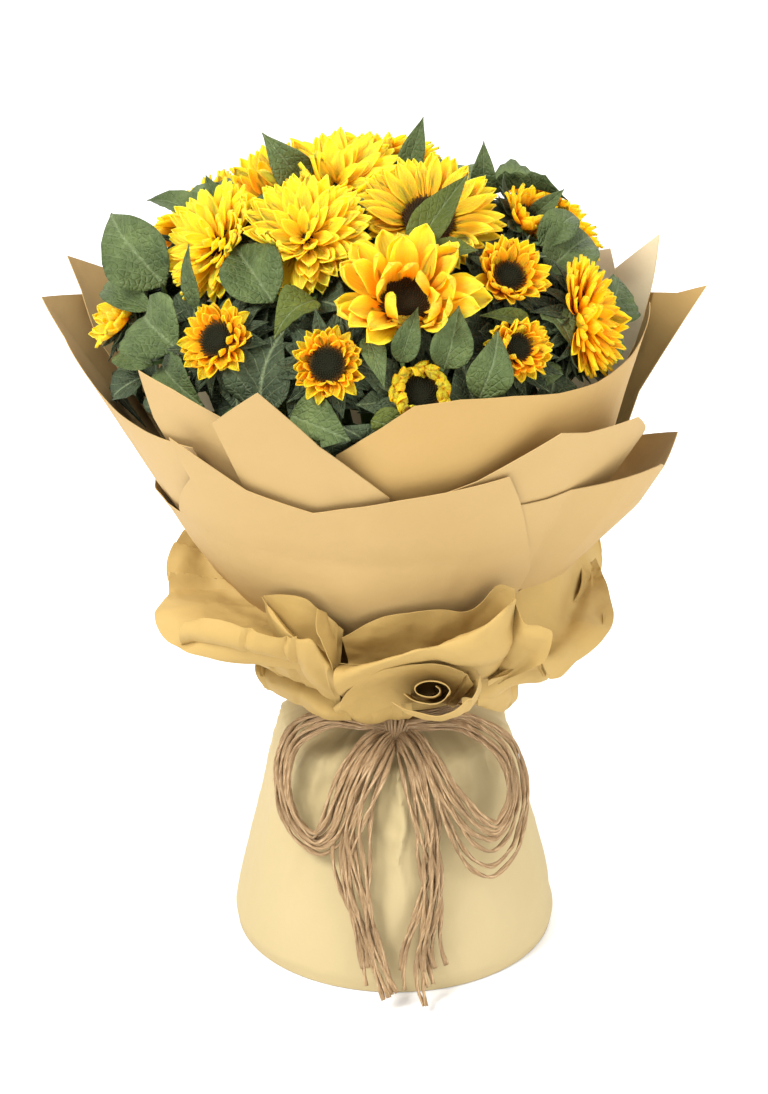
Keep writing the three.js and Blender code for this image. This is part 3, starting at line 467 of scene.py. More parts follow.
# Levels of the skirt: height, radius, depth of the six flutes
skirtLevels = [(0, 114, 0), (10, 116, 0.6), (70, 104, 1.6), (130, 90, 2.6), (160, 80, 2.4), (172, 46, 0),
               (198, 44.5, 0), (207, 41.9, 0)]
paper = {"thickness": 0.6, "pitch": 2.1, "columnStep": 1.25, "rows": 34, "swell": 1.7, "dent": 0.5,
         "sideMargin": 2, "topMargin": 5, "gap": 4.6, "evenBelow": 215, "evenFade": 60, "foldReach": 3.2,
         "deepestFold": 1.8}


def direction(polar, azimuth):
    p, a = math.radians(polar), math.radians(azimuth)
    return Vector((math.sin(p) * math.sin(a), -math.sin(p) * math.cos(a), math.cos(p)))


def onDome(polar, azimuth, radius):
    return bunch["centre"] + direction(polar, azimuth) * radius


def axisX(z):
    # The bunch leans a little from its tie to its mouth
    lean = bunch["tieX"] * (bunch["mouth"] - z) / (bunch["mouth"] - bunch["tie"])
    return np.minimum(lean, bunch["tieX"])


def depthShare(z):
    # Its mouth is an oval
    low, high = coneHeights[0], coneHeights[-1]
    return 1 - (1 - bunch["depthShare"]) * np.clip((z - low) / (high - low), 0, 1)


def coneRadius(z):
    return np.interp(z, coneHeights, coneRadii) + coneSlope * np.maximum(z - coneHeights[-1], 0)


def skirtRadius(z, turn):
    heights, radii, flutes = zip(*skirtLevels)
    return np.interp(z, heights, radii) + np.interp(z, heights, flutes) * math.sin(6 * turn + 0.6)


# Sheets of the wrap: each place on a rim is (azimuth, height, lean, bulge at the last knee)
sheets = {
    # The inside takes the paler kraft, partly painted light
    "paper_back": dict(layer=0, foot=205, inside="paleKraft", rim=[
        (122, 438, -4), (131, 470, -4), (140, 458, -6), (165, 462, -6), (195, 464, -6), (219, 468, -6),
        (236, 446, -6)]),
    # The inside takes the paler kraft, partly painted light
    "paper_right_tall": dict(layer=1, foot=205, inside="paleKraft", rim=[
        (112, 425, -4), (117, 460, -2), (122, 487, 0), (131, 448, -2), (150, 440, -3), (176, 452, -3)]),
    "paper_left_tall": dict(layer=1, foot=205, rim=[
        (186, 450, -3), (212, 446, -3), (235, 456, -2), (247, 482, 0), (250, 462, -2), (256, 436, -4)]),
    # Its outside takes the painted-shade copy of the kraft
    "paper_right_wing": dict(layer=2, foot=205, finish="goldKraft", rim=[
        (92, 372, 0), (97, 384, 0), (101, 400, 0), (104, 471, 7.6), (110, 459, 2), (120, 449, 0),
        (142, 456, 0), (166, 446, 0)]),
    "paper_left_wing": dict(layer=2, foot=205, rim=[
        (228, 444, 0), (244, 452, 0), (260, 468, 8), (270, 452, -4), (288, 426, -14), (306, 424, -14),
        (322, 428, -10)]),
    "paper_front_left": dict(layer=1, foot=205, rim=[
        (311, 440, -18), (315, 482, -18), (322, 474, -18), (331, 458, -18), (344, 440, -18)]),
    # Its outside takes the painted-shade copy of the kraft
    "paper_front_right": dict(layer=1, foot=205, finish="goldKraft", rim=[
        (352, 436, -18), (361, 460, -18), (367, 478, -18), (375, 481, -18), (385, 478, -19),
        (396, 470, -24), (410, 463, -34), (430, 466, -42), (450, 478, -44)]),
    "paper_front_centre": dict(layer=2, foot=205, rim=[
        (331, 458, -6), (342, 492, -6.5), (350, 448, -6), (362, 404, -6)]),
    "paper_band_left": dict(layer=4, foot=262, rim=[
        (262, 352, 0), (280, 350, 0), (300, 352, 0), (319, 402, 0), (321, 440, 0), (333, 404, 0),
        (346, 390, 0), (364, 405, 0), (385, 418, 0), (395, 362, 0), (405, 318, 0)]),
    "paper_band_right": dict(layer=2, foot=262, rim=[
        (370, 404, 0), (379, 416, 0), (394, 447, 0), (401, 440, 0), (416, 436, 2), (424, 420, 2),
        (438, 392, 4)]),
    "paper_lower_right": dict(layer=3, foot=262, rim=[
        (384, 388, 0, 0), (398, 386, 0, 0), (405, 387, 0, 0), (418, 387, 0, 16), (430, 384, 0, 25),
        (442, 366, 0, 30), (450, 382, 0, 30), (466, 360, 0, 22)]),
}
for sheet in sheets.values():
    # Azimuths, heights, leans and bulges in rows, the last nought where a place has none
    sheet["rim"] = np.array([place + (0,) * (4 - len(place)) for place in sheet["rim"]], float).T


def sheetRim(sheet, azimuth):
    # Height, lean and bulge of the rim at an azimuth
    return [np.interp(azimuth, sheet["rim"][0], values) for values in sheet["rim"][1:]]


def sheetRadius(sheet, z, lean, bulge):
    # How far from the axis a sheet lies
    knee = coneHeights[-1]
    stand = lean * np.maximum(z - knee, 0) / (bunch["mouth"] - knee)
    stand = stand + bulge * np.minimum((z - sheet["foot"]) / (knee - sheet["foot"]), 1)
    return coneRadius(z) + sheet["layer"] * paper["pitch"] + stand


def keepInPaper(points, gap=paper["gap"]):
    # Points that would lie outside the wrap are drawn in until they rest against it
    points = np.array(points, float)
    z = points[:, 2]
    axis, share = axisX(z), depthShare(z)
    dx, dy = points[:, 0] - axis, points[:, 1] / share
    reach = np.hypot(dx, dy)
    azimuth = np.degrees(np.arctan2(dx, -dy))
    limit = np.full(len(points), 1e9)
    for sheet in sheets.values():
        first, last = sheet["rim"][0][0] - paper["sideMargin"], sheet["rim"][0][-1] + paper["sideMargin"]
        for turned in (azimuth - 360, azimuth, azimuth + 360):
            height, lean, bulge = sheetRim(sheet, turned)
            level = (z < height + paper["topMargin"]) & (z > sheet["foot"])
            covers = (turned >= first) & (turned <= last) & level
            limit = np.where(covers, np.minimum(limit, sheetRadius(sheet, z, lean, bulge) - gap), limit)
    shrink = np.minimum(limit / np.maximum(reach, 1e-6), 1)
    points[:, 0] = axis + dx * shrink
    points[:, 1] = dy * shrink * share
    return points


gathers = {"count": 34, "least": 1.0, "most": 3.4, "seed": 7, "top": 168}
gatherRng = random.Random(gathers["seed"])
# Creases below the tie: azimuth, lowest place, width, depth, drift
gatherLines = [(gatherRng.uniform(-math.pi, math.pi), gatherRng.uniform(20, 140),
                gatherRng.uniform(0.03, 0.09), gatherRng.uniform(gathers["least"], gathers["most"]),
                gatherRng.uniform(-0.12, 0.12)) for k in range(gathers["count"])]
gatherLines += [(0.06, 48, 0.05, 4.6, 0.05), (-0.30, 60, 0.07, 3.4, -0.1), (0.42, 90, 0.06, 3.0, 0.1)]


def gatherAt(turn, z):
    # Creases that run down from the tie and fade out
    total = 0.0
    for azimuth, end, width, deep, drift in gatherLines:
        fade = clamp((z - end) / (gathers["top"] - end))
        near = (turn - azimuth - drift * (1 - fade) + math.pi) % (2 * math.pi) - math.pi
        spread = width * (1.6 - 0.6 * fade)
        if fade and abs(near) < 3.2 * spread:
            groove = 0.45 * math.exp(-((near - spread * 1.3) / spread) ** 2)
            total += deep * fade ** 1.2 * (math.exp(-(near / spread) ** 2) - groove)
    return total


def noiseRound(turn, wide, height, shift=(0, 0, 0)):
    # Noise that closes on itself round the bunch
    return noise.noise(Vector((math.sin(turn) * wide, math.cos(turn) * wide, height)) + Vector(shift))


def skirtSkin(turn, z):
    # Radius of the lower wrap with its creases
    soft, fine = noiseRound(turn, 2.2, z / 70) * 1.6, noiseRound(turn, 9, z / 60) * 0.5
    crinkle = abs(noiseRound(turn, 6, z / 19, (3, 1, 5)))
    crease = (soft + fine) * min(z / 50, 1) + gatherAt(turn, z) - 7.0 * crinkle * clamp((z - 50) / 110) ** 1.5
    # The lapped edge of the sheet, down the front
    ridge = abs(turn - 0.045 - 0.02 * math.sin(z / 9))
    crease += 4.2 * max(0, 1 - ridge / 0.035) * clamp((z - 55) / 50)
    crease += 2.2 * (0.22 - abs(noiseRound(turn, 2.6, z / 42, (2, 8, 4)))) * min(z / 25, 1)
    if z > gathers["top"]:
        crease = 0.3 * min(crease, 1)
    return skirtRadius(z, turn) + crease


# Jute bow: strands that follow the route of each bundle

bow = {"strandWidth": 2.9, "step": 2.2, "loopSpread": 9.5, "tailSpread": 15.5, "fuzz": 34, "fuzzReach": 2.0,
       "sides": 8, "twist": 0.09, "lobes": 0.30, "clearance": 2.6, "floor": 1.8,
       "fuzzRadii": (0.15, 0.12, 0.05)}
bundles = {
    "twine_loop_left": {"count": 9, "sags": {0: 7, 4: 4}, "route": [
        (13, -60, 184), (4, -63.5, 187), (-14, -69.4, 193), (-32, -71.4, 196), (-50, -69.4, 187),
        (-60, -67.4, 173), (-65, -69.4, 153), (-62, -79.4, 129), (-52, -89.4, 116), (-40, -96.4, 112),
        (-29, -99.4, 126), (-21, -93.4, 153), (-10, -80.4, 173), (3, -66, 181), (12, -60, 181)]},
    "twine_loop_right": {"count": 9, "sags": {0: 21, 1: 16, 3: 8, 6: 5}, "route": [
        (15, -60, 184), (24, -63.5, 187), (40, -68.4, 190), (58, -69.4, 192), (78, -69.4, 181),
        (90, -69.4, 169), (97, -71.4, 151), (98, -77.4, 134), (92, -87.4, 120), (84, -93.4, 114),
        (68, -98.4, 124), (52, -97.4, 146), (38, -84.4, 169), (26, -67, 181), (16, -60, 181)]},
    "twine_tail_left": {"count": 11, "sags": {}, "route": [
        (13, -61, 178), (9, -73, 177), (2, -86, 169), (-6, -92.4, 152), (-13, -99.4, 132),
        (-15, -105.4, 108), (-11, -111.4, 78), (-3, -120.4, 42), (5, -132.4, 15), (11, -147, 5)]},
    "twine_tail_right": {"count": 11, "sags": {}, "route": [
        (15, -61, 178), (19, -73, 177), (27, -86, 169), (33, -92.4, 152), (39, -99.4, 132),
        (41, -105.4, 106), (40, -111.4, 74), (33, -120.4, 38), (35, -131.4, 14), (41, -144, 5)]},
}


def strandTube(path, share):
    return tube(path, bow["strandWidth"] * share, bow["sides"], twist=bow["twist"], lobes=bow["lobes"])


def addFuzz(strand, path, rng):
    # Short loose fibres along a strand, and a few at its ends
    for k in range(bow["fuzz"]):
        i = rng.randrange(1, len(path) - 1) if k % 5 else rng.choice([1, len(path) - 2])
        along = (path[i + 1] - path[i - 1]).normalized()
        lean = Vector((rng.uniform(-1, 1), rng.uniform(-1, 1), rng.uniform(-1, 1)))
        side = (lean - along * lean.dot(along)).normalized()
        start = path[i] + side * bow["strandWidth"] * 0.3
        tip = start + side * bow["fuzzReach"] * rng.uniform(0.3, 1) + along * rng.uniform(-4.5, 4.5)
        bend = (start + tip) / 2 + along * rng.uniform(-0.5, 0.5)
        tip.z = max(tip.z, 0.3)
        strand.add(*tube([start, bend, tip], bow["fuzzRadii"], 3))


def addStrand(name, nodeName, path, rng):
    strand = Builder()
    strand.add(*strandTube(path, 0.5))
    addFuzz(strand, path, rng)
    piece = strand.piece(name, [finishes["jute"]], "twine", [nodeName])
    metres = [p * mm for p in path]
    length = sum((b - a).length for a, b in zip(metres, metres[1:]))
    tuple(metres[0])
    [tuple(p) for p in metres]


def clearOfSkirt(p):
    # The place outside the creased paper and above the floor
    dx, dy = p.x - bunch["tieX"], p.y
    turn = math.atan2(dx, -dy)
    least = max(skirtSkin(turn + near, max(p.z, 0)) for near in (-0.07, 0, 0.07)) + bow["clearance"]
    reach = math.hypot(dx, dy)
    if p.z < gathers["top"] and reach < least:
        dx, dy = dx * least / reach, dy * least / reach
    return Vector((bunch["tieX"] + dx, dy, max(p.z, bow["floor"])))


def bundleStrands(nodeName, bundle):
    rng = random.Random(nodeName)
    tail = "tail" in nodeName
    centre = spline(bundle["route"], 6)
    half = (bundle["count"] - 1) / 2
    steps = len(centre) - 1
    for k in range(bundle["count"]):
        rank = (k - half) / half
        phase = rng.uniform(0, 6.28)
        cross = rng.uniform(0.5, 1.6)
        depth = rng.uniform(-1, 1)
        sag = bundle["sags"].get(k, 0)
        knots = []
        stop = int(steps * (1 - rng.uniform(0, 0.14))) if tail else steps
        for i in range(0, stop + 1, 2):
            t = i / steps
            along = (centre[min(i + 1, steps)] - centre[max(i - 1, 0)]).normalized()
            outward = Vector((centre[i].x - bunch["tieX"], centre[i].y, 0)).normalized()
            side = along.cross(outward).normalized()
            if tail:
                # The strands of a tail cross each other and draw together above the floor
                grow = 0.3 + 0.7 * min(1, t * 2.2)
                pinch = 1 - 0.35 * math.exp(-((t - 0.72) / 0.16) ** 2)
                order = rank * math.cos(t * 2.8 * cross) + 0.45 * math.sin(t * 6 + phase)
                across = order * bow["tailSpread"] * grow * pinch
            else:
                grow = 0.22 + 0.78 * math.sin(math.pi * t) ** 0.8
                across = rank * bow["loopSpread"] * grow + math.sin(t * 7 + phase) * 2.6 * grow
            lift = depth * 2.6 + math.sin(t * 5 + phase * 2) * 1.4
            drop = sag * math.exp(-((t - 0.62) / 0.16) ** 2)
            knots.append(centre[i] + side * across + outward * lift - Vector((0, 0, drop)))
        path = [clearOfSkirt(p) for p in spline(knots, bow["step"])]
        addStrand(f"{nodeName}_strand_{k + 1}", nodeName, path, rng)


for nodeName, bundle in bundles.items():
    bundleStrands(nodeName, bundle)


knot = {"turns": 6, "lowestTurn": 176, "turnPitch": 2.3, "turnRadius": 49.6, "turnPoints": 96,
        "wraps": 9, "lean": 38, "wrapPitch": 1.9, "wrapPoints": 32, "size": (12, 10.5, 13.5),
        "place": (bunch["tieX"], -56.5, bunch["tie"])}


def addKnot():
    # The band round the neck and the knot, both wound from the same strand
    rng = random.Random("knot")
    band = Builder()
    for k in range(knot["turns"]):
        height = knot["lowestTurn"] + k * knot["turnPitch"]
        wave = rng.uniform(0, 6.28)
        ring = []
        for i in range(knot["turnPoints"] + 1):
            turn = 2 * math.pi * i / knot["turnPoints"]
            radius = knot["turnRadius"] + 0.7 * math.sin(3 * turn + wave)
            z = height + 1.0 * math.sin(2 * turn + wave) + i / knot["turnPoints"] * 0.5
            ring.append(Vector((bunch["tieX"] + radius * math.sin(turn), -radius * math.cos(turn), z)))
        band.add(*strandTube(ring, 0.52))
    cx, cy, cz = knot["place"]
    rx, ry, rz = knot["size"]
    middle = (knot["wraps"] - 1) / 2
    for k in range(knot["wraps"]):
        lean = math.radians(knot["lean"] * (k / middle - 1) + rng.uniform(-5, 5))
        shift = (k - middle) * knot["wrapPitch"]
        loop = []
        for i in range(knot["wrapPoints"] + 1):
            turn = 2 * math.pi * i / knot["wrapPoints"]
            x = shift * math.cos(lean) * 0.9 + math.sin(lean) * rz * math.cos(turn) * 0.8
            z = rz * math.cos(turn) * math.cos(lean) - shift * math.sin(lean) * 0.5
            y = -ry * abs(math.sin(turn)) ** 0.8 * (1 if math.sin(turn) > 0 else -0.35)
            loop.append(Vector((cx + x, cy + y * (1 - (shift / rx) ** 2 * 0.35), cz + z)))
        band.add(*strandTube(loop, 0.52))
    band.piece("twineKnot", [finishes["jute"]], "twine", ["twine_knot"])


addKnot()
print("twine")


# Flower heads

headKeys = ("polar", "azimuth", "face", "reach", "disc", "rise", "curl", "style", "color", "radius")
headRows = {
    "A": (7, -100, (28, -12), 50, 14, 8, -6, "pompon", "lemonPetal", 202),
    "B": (18.5, -88, (30, -50), 43, 10, 34, 16, "tuft", "goldPetal", 205),
    "C": (32, -65, (58, -52), 44, 14, 12, 10, "pompon", "lemonPetal"),
    "D": (24, -30, (44, -14), 46, 14, 10, 10, "pompon", "lemonPetal"),
    "E": (17, 39, (40, 8), 50, 16.5, 4, 8, "open", "goldPetal", 205),
    "F": (37, 10, (42, 2), 53, 16, 14, 22, "ragged", "goldPetal"),
    "G": (36, 46, (42, 24), 31, 10, 34, 22, "tuft", "orangePetal"),
    "H": (49, 61, (72, 76), 43, 15, 14, 8, "pompon", "orangePetal"),
    "I": (49, 36, (56, 30), 26, 9, 26, 10, "small", "orangePetal"),
    "J": (48, -39, (56, -36), 29, 11.5, 20, 16, "small", "orangePetal"),
    "K": (49, -10, (62, -4), 26, 11.5, 20, 16, "small", "orangePetal"),
    "L": (54, 11, (48, 6), 34, 13, 48, 52, "curled", "orangePetal", 202),
    "M": (54, -85, (58, -84), 36, 13, 24, 14, "small", "goldPetal", 206),
    "N": (30, 82, (44, 74), 31, 11, 34, 16, "tuft", "orangePetal"),
    "P": (23, 178, (30, 176), 46, 17, 10, 12, "open", "goldPetal"),
    "Q": (47, -129, (52, -130), 44, 16, 14, 12, "open", "goldPetal"),
    "S": (47, 127, (52, 128), 44, 16, 14, 12, "open", "orangePetal"),
    "T": (50, 178, (54, 180), 41.5, 15, 16, 12, "ragged", "goldPetal", 208),
}
heads = {name: dict(zip(headKeys, row)) for name, row in headRows.items()}
for head in heads.values():
    head["centre"] = onDome(head["polar"], head["azimuth"], head.get("radius", bunch["radius"]))
    head["facing"] = direction(*head["face"])
    head["turn"] = Vector((0, 0, 1)).rotation_difference(head["facing"])
# Rows are (count, reach, extra rise, root height, root as a share of the disc)
# and ratio is a petal's width against its length
styles = {
    "open": dict(ratio=(0.26, 0.33), twist=0.35, hook=(-35, 40), blade="pointed", rows=[
        (24, 1.0, -5, -2.6, 1), (22, 0.98, 3, -1.9, 1), (18, 0.90, 12, -1.2, 1)]),
    "pompon": dict(ratio=(0.29, 0.37), twist=0.35, hook=(-25, 35), blade="pointed", rows=[
        (19, 1.0, -14, -2.6, 1), (19, 1.0, -4, -1.9, 1), (18, 0.97, 4, -1.2, 1), (16, 0.90, 12, 0, 0.8),
        (13, 0.80, 19, 0.8, 0.55), (9, 0.66, 27, 1.4, 0.28), (5, 0.5, 40, 1.8, 0.1)]),
    "tuft": dict(ratio=(0.32, 0.44), twist=0.6, hook=(-50, 60), blade="pointed", rows=[
        (16, 1.0, -4, -2.6, 1), (15, 0.95, 8, -1.8, 1), (12, 0.8, 20, -1.0, 1)]),
    "ragged": dict(ratio=(0.42, 0.58), twist=0.8, hook=(-80, 90), blade="blunt", rows=[
        (14, 1.0, -12, -2.6, 1), (12, 1.0, 6, -1.8, 1), (11, 0.92, 30, -0.8, 1), (7, 0.84, 62, 0, 0.95)]),
    "small": dict(ratio=(0.34, 0.48), twist=1.0, hook=(-80, 110), blade="pointed", rows=[
        (20, 1.0, -6, -2.4, 1), (18, 0.92, 12, -1.4, 1), (10, 0.78, 34, -0.6, 0.92)]),
    "curled": dict(ratio=(0.42, 0.55), twist=1.2, hook=(150, 260), blade="blunt", rows=[
        (20, 1.0, -4, -2.4, 1), (18, 0.95, 12, -1.4, 1)]),
}
petal = {"thickness": 0.36, "columns": 4, "rows": 8, "trough": 0.17, "groove": 0.035, "ripple": 0.06,
         "bendSteps": 24, "steepest": 96, "steepestTip": 116, "tries": range(0, 91, 5), "push": 9,
         "shorter": (0.62, 0.4)}
floret = {"spacing": 1.45, "height": 2.6, "domeRings": 7, "domePoints": 28}

leaves = [
    ("M", (44, -73, 206), (44, -90, 262), 46), ("B", (30, -76, 210), (40, -98, 238), 22),
    ("B", (28, -84, 206), (28, -92, 240), 15), ("B", (12, -96, 206), (17, -92, 250), 27),
    ("J", (52, -50, 208), (50, -69, 218), 48), ("M", (49, -70, 206), (55, -90, 230), 20),
    ("D", (38, -30, 206), (31, -54, 216), 42), ("D", (18, -46, 218), (26, -64, 224), 16),
    ("J", (44, -52, 206), (36, -63, 228), 12), ("D", (36, -17, 206), (45, -25, 216), 27),
    ("C", (57, -60, 198), (61, -80, 206), 20), ("J", (56, -56, 200), (60, -38, 200), 32),
    ("K", (58, -18, 196), (62, -4, 200), 38), ("A", (8, 130, 204), (11, 132, 246), 17),
    ("N", (22, 102, 204), (19, 106, 241), 17), ("N", (30, 88, 208), (33, 92, 238), 13),
    ("N", (38, 66, 204), (41, 88, 228), 38), ("N", (34, 70, 212), (37, 90, 234), 24),
    ("H", (52, 72, 204), (50, 88, 216), 34), ("H", (57, 62, 196), (54, 78, 206), 26),
    ("F", (27, 15, 208), (19, 56, 238), 24), ("F", (29, 20, 214), (32, 36, 226), 20),
    ("I", (46, 44, 206), (42, 29, 220), 15), ("I", (56, 24, 204), (46, 31, 224), 30),
    ("L", (50, 17, 208), (41, 22, 228), 28), ("L", (48, 7, 206), (40, 12, 226), 18),
    ("K", (43, -1, 208), (53, 3, 214), 16), ("H", (44, 51, 208), (52, 51, 216), 28),
    ("I", (52, 46, 198), (57, 42, 202), 24), ("L", (58, 0, 196), (61, 10, 198), 22),
    ("E", (16, 0, 202), (17, -22, 206), 26), ("J", (64, -50, 180), (53, -56, 198), 46),
    ("K", (58, -27, 186), (42, -26, 204), 46), ("K", (66, -12, 176), (55, -13, 190), 46),
    ("L", (60, 24, 186), (47, 22, 202), 42), ("F", (50, -3, 186), (36, -9, 200), 36),
    ("I", (62, 44, 180), (53, 50, 196), 44), ("P", (28, 150, 200), (42, 158, 222), 56),
    ("P", (28, -152, 200), (41, -158, 224), 58), ("Q", (28, -116, 200), (40, -108, 226), 50),
    ("S", (28, 124, 200), (40, 112, 226), 48), ("T", (52, 152, 200), (58, 152, 216), 34),
    ("T", (52, -154, 200), (58, -154, 216), 36),
]
oliveLeaves = {("F", (27, 15, 208)), ("F", (29, 20, 214)), ("I", (46, 44, 206)), ("D", (36, -17, 206)),
               ("L", (58, 0, 196))}
leaf = {"thickness": 0.5, "columns": 8, "rows": 16, "teeth": 8, "gap": 6, "hiddenBelow": 190}
bract = {"columns": 4, "rows": 7, "rings": 3, "count": 13}
filler = {"count": 26, "radius": (166, 192), "length": (34, 52), "width": (22, 34), "stalk": 1.3}


def leafShape(x, y):
    # Broad near the base, drawn to a long point, with small teeth and a raised blade between the veins
    width = 3.3 * y ** 0.62 * (1 - y) ** 1.25 if 0 < y < 1 else 0
    tooth = 1 + 0.05 * math.sin(leaf["teeth"] * 2 * math.pi * y) * (abs(x) > 0.9)
    slanted = y - 0.62 * abs(x) * 0.5 + 0.22 * (abs(x) * 0.5) ** 2
    quilt = 0.03 * math.cos(36 * slanted) * abs(x) ** 0.5 * width
    return (x * max(width * tooth, 0.02), y, 0.34 * abs(x) ** 1.3 * width - quilt)


leafBlade = bladeTemplate(leaf["columns"], leaf["rows"], leafShape)
bractBlade = bladeTemplate(bract["columns"], bract["rows"], leafShape)


def bendLeaf(blade, start, end, wide, outward, arch, wave, phase, hook=0.0, cup=1.0):
    # One copy of a leaf between two places, arched, waved along its edges, its tip turned by hook
    length = (end - start).length
    along = (end - start).normalized()
    if abs(along.dot(outward)) > 0.8:
        outward = Vector((0, -1, 0.3))
    side = along.cross(outward).normalized()
    up = side.cross(along).normalized()
    px, py, pz = blade[0].T
    lift = np.sin(py * math.pi) * length * arch + pz * wide / 2 * cup + hook * length * py ** 3
    lift = lift + np.sin(py * 9 + phase + np.where(px > 0, 2.0, 0.0)) * wave * np.abs(px) ** 1.5 * wide
    forward = py * length * (1 - abs(hook) * 0.22 * py ** 2)
    points = np.array(start) + np.outer(forward, along) + np.outer(lift, up) + np.outer(px * wide / 2, side)
    return keepInPaper(points, leaf["gap"])


def placeLeaves():
    placed = []
    rng = random.Random("leaves")
    for stem, base, tip, wide in leaves:
        start, end = onDome(*base), onDome(*tip)
        outward = ((start + end) / 2 - bunch["centre"]).normalized()
        points = bendLeaf(leafBlade, start, end, wide, outward, rng.uniform(0.08, 0.17), 0.07,
                          rng.uniform(0, 6), rng.uniform(-0.25, 0.12), rng.uniform(0.7, 1.9))
        finish = "oliveLeaf" if (stem, base) in oliveLeaves else "leaf"
        # Leaves that start low in the bunch take the dark bract green as painted shade
        if base[2] <= leaf["hiddenBelow"]:
            finish = "bract"
        placed.append({"stem": stem, "start": start, "end": end, "outward": outward, "points": points,
                       "finish": finish})
    return placed


def treeOf(pairs):
    # One search tree over many (points, faces) pairs
    points, faces, count = [], [], 0
    for more, sides in pairs:
        points.extend(map(tuple, more))
        faces.extend([tuple(i + count for i in face) for face in sides])
        count += len(more)
    return BVHTree.FromPolygons(points, faces)


def crosses(tree, points, faces):
    return bool(tree.overlap(BVHTree.FromPolygons(points.tolist(), faces)))


placedLeaves = placeLeaves()
leafTree = treeOf([(one["points"], leafBlade[1]) for one in placedLeaves])


def petalShape(taper, blunt):
    def shape(x, y):
        # A trough and grooves run down it, the end is drawn to a point
        swell = min(1.0, 0.42 + 1.4 * y)
        end = max(0.0, 1 - max(0, (y - 0.42) / 0.58) ** taper) ** blunt
        groove = -petal["groove"] * (math.cos(3 * math.pi * x) + 1) * (1 - y) ** 0.5 * 0.5
        return (x * max(swell * end, 0.03), y, petal["trough"] * x * x + groove)
    return bladeTemplate(petal["columns"], petal["rows"], shape)


petalBlades = {"pointed": petalShape(2.0, 0.85), "blunt": petalShape(2.6, 0.62)}
petalFaces = petalBlades["blunt"][1]
petalsSoFar = []


def dividers(name):
    # Planes between a head and its neighbours, which its petals don't pass
    own = heads[name]
    planes = []
    for other, head in heads.items():
        between = head["centre"] - own["centre"]
        distance = between.length
        if other == name or distance > own["reach"] + head["reach"] + 12:
            continue
        limit = distance * own["reach"] / (own["reach"] + head["reach"]) + 1.5
        planes.append((between.normalized(), limit))
    return planes


def bendPetal(blade, length, width, rise, curl, twist, angle, root, height, hook, phase):
    # One copy of the petal, bent along its length and set round the disc
    steps = petal["bendSteps"]
    rows = [(0.0, 0.0, math.radians(rise))]
    for k in range(steps):
        t = (k + 0.5) / steps
        slope = math.radians(rise + curl * t + hook * t ** 4)
        x, z = rows[-1][:2]
        rows.append((x + math.cos(slope) * length / steps, z + math.sin(slope) * length / steps, slope))
    out = np.empty_like(blade)
    ca, sa = math.cos(angle), math.sin(angle)
    for n, (px, py, pz) in enumerate(blade):
        k = min(int(py * steps), steps - 1)
        f = py * steps - k
        cx, cz, slope = [a * (1 - f) + b * f for a, b in zip(rows[k], rows[k + 1])]
        turned = twist * py
        rib = pz + petal["ripple"] * math.sin(py * 8 + phase + (1.6 if px > 0 else 0)) * px * px * py
        across = px * width / 2 * math.cos(turned) - rib * width * math.sin(turned)
        lift = px * width / 2 * math.sin(turned) + rib * width * math.cos(turned)
        radial = root + cx - math.sin(slope) * lift
        out[n] = (radial * ca - across * sa, radial * sa + across * ca, height + cz + math.cos(slope) * lift)
    return out


def toWorld(head, local):
    return local @ np.array(head["turn"].to_matrix()).T + np.array(head["centre"])


def placePetal(head, planes, rise, curl, **shape):
    # The petal bends up until it clears the neighbouring heads, and leans on the paper where it meets it
    most = max(petal["steepest"], rise)
    for bend in petal["tries"]:
        lean = min(rise + bend, most)
        tipCurl = min(curl, max(petal["steepestTip"] - lean, 0)) if curl > 0 else curl
        world = toWorld(head, bendPetal(rise=lean, curl=tipCurl, **shape))
        offset = world - np.array(head["centre"])
        if all((offset @ np.array(normal) < limit).all() for normal, limit in planes):
            inside = keepInPaper(world)
            near = lean >= most or np.abs(inside - world).max() < petal["push"]
            if near and not crosses(leafTree, inside, petalFaces):
                return inside
        if lean >= most:
            break
    for short in petal["shorter"]:
        shape.update(length=shape["length"] * short, width=shape["width"] * 0.85, hook=0, twist=0)
        world = keepInPaper(toWorld(head, bendPetal(rise=min(rise + 50, 92), curl=10, **shape)))
        if not crosses(leafTree, world, petalFaces):
            return world
    return None


def addPetals(name):
    head = heads[name]
    style = styles[head["style"]]
    rng = random.Random("petals" + name)
    planes = dividers(name)
    builder = Builder()
    blade, faces, uvs = petalBlades[style["blade"]]
    for number, (count, reach, extra, height, inner) in enumerate(style["rows"]):
        start = (head["disc"] + 0.5) * inner
        for i in range(count):
            angle = 2 * math.pi * (i + rng.uniform(-0.3, 0.3) + 0.5 * (number % 2)) / count
            length = (head["reach"] * reach - start) * rng.uniform(0.9, 1.07)
            width = min(length * rng.uniform(*style["ratio"]) + 2.5, head["reach"] * 0.4)
            world = placePetal(head, planes, blade=blade, length=length, width=width,
                               rise=head["rise"] + extra + rng.uniform(-7, 7),
                               curl=head["curl"] * rng.uniform(0.3, 1.5),
                               twist=style["twist"] * rng.uniform(-1, 1), angle=angle, root=start,
                               height=height, hook=rng.uniform(*style["hook"]), phase=rng.uniform(0, 6))
            if world is not None:
                builder.add(world, faces, uvs)
                petalsSoFar.append((world, faces))
    piece = builder.piece(f"rayPetals{name}", [finishes[head["color"]]], "petals", [f"petals_{name}"])
    thicken(piece, petal["thickness"], use_even_offset=False)


def ringPoints(profile, around):
    # Rings of points round the z axis, one for each (radius, height)
    turns = [2 * math.pi * k / around for k in range(around)]
    return [(radius * math.cos(turn), radius * math.sin(turn), z) for radius, z in profile for turn in turns]


# A floret: a six-sided bud, pinched at its mouth
selectOnly()
bpy.ops.mesh.primitive_cone_add(vertices=6, radius1=0.5, radius2=0.22, depth=1, location=(0, 0, 0.5))
budPoints, budFaces = takeMesh(bpy.context.object, lambda face: face.normal.z > -0.9)


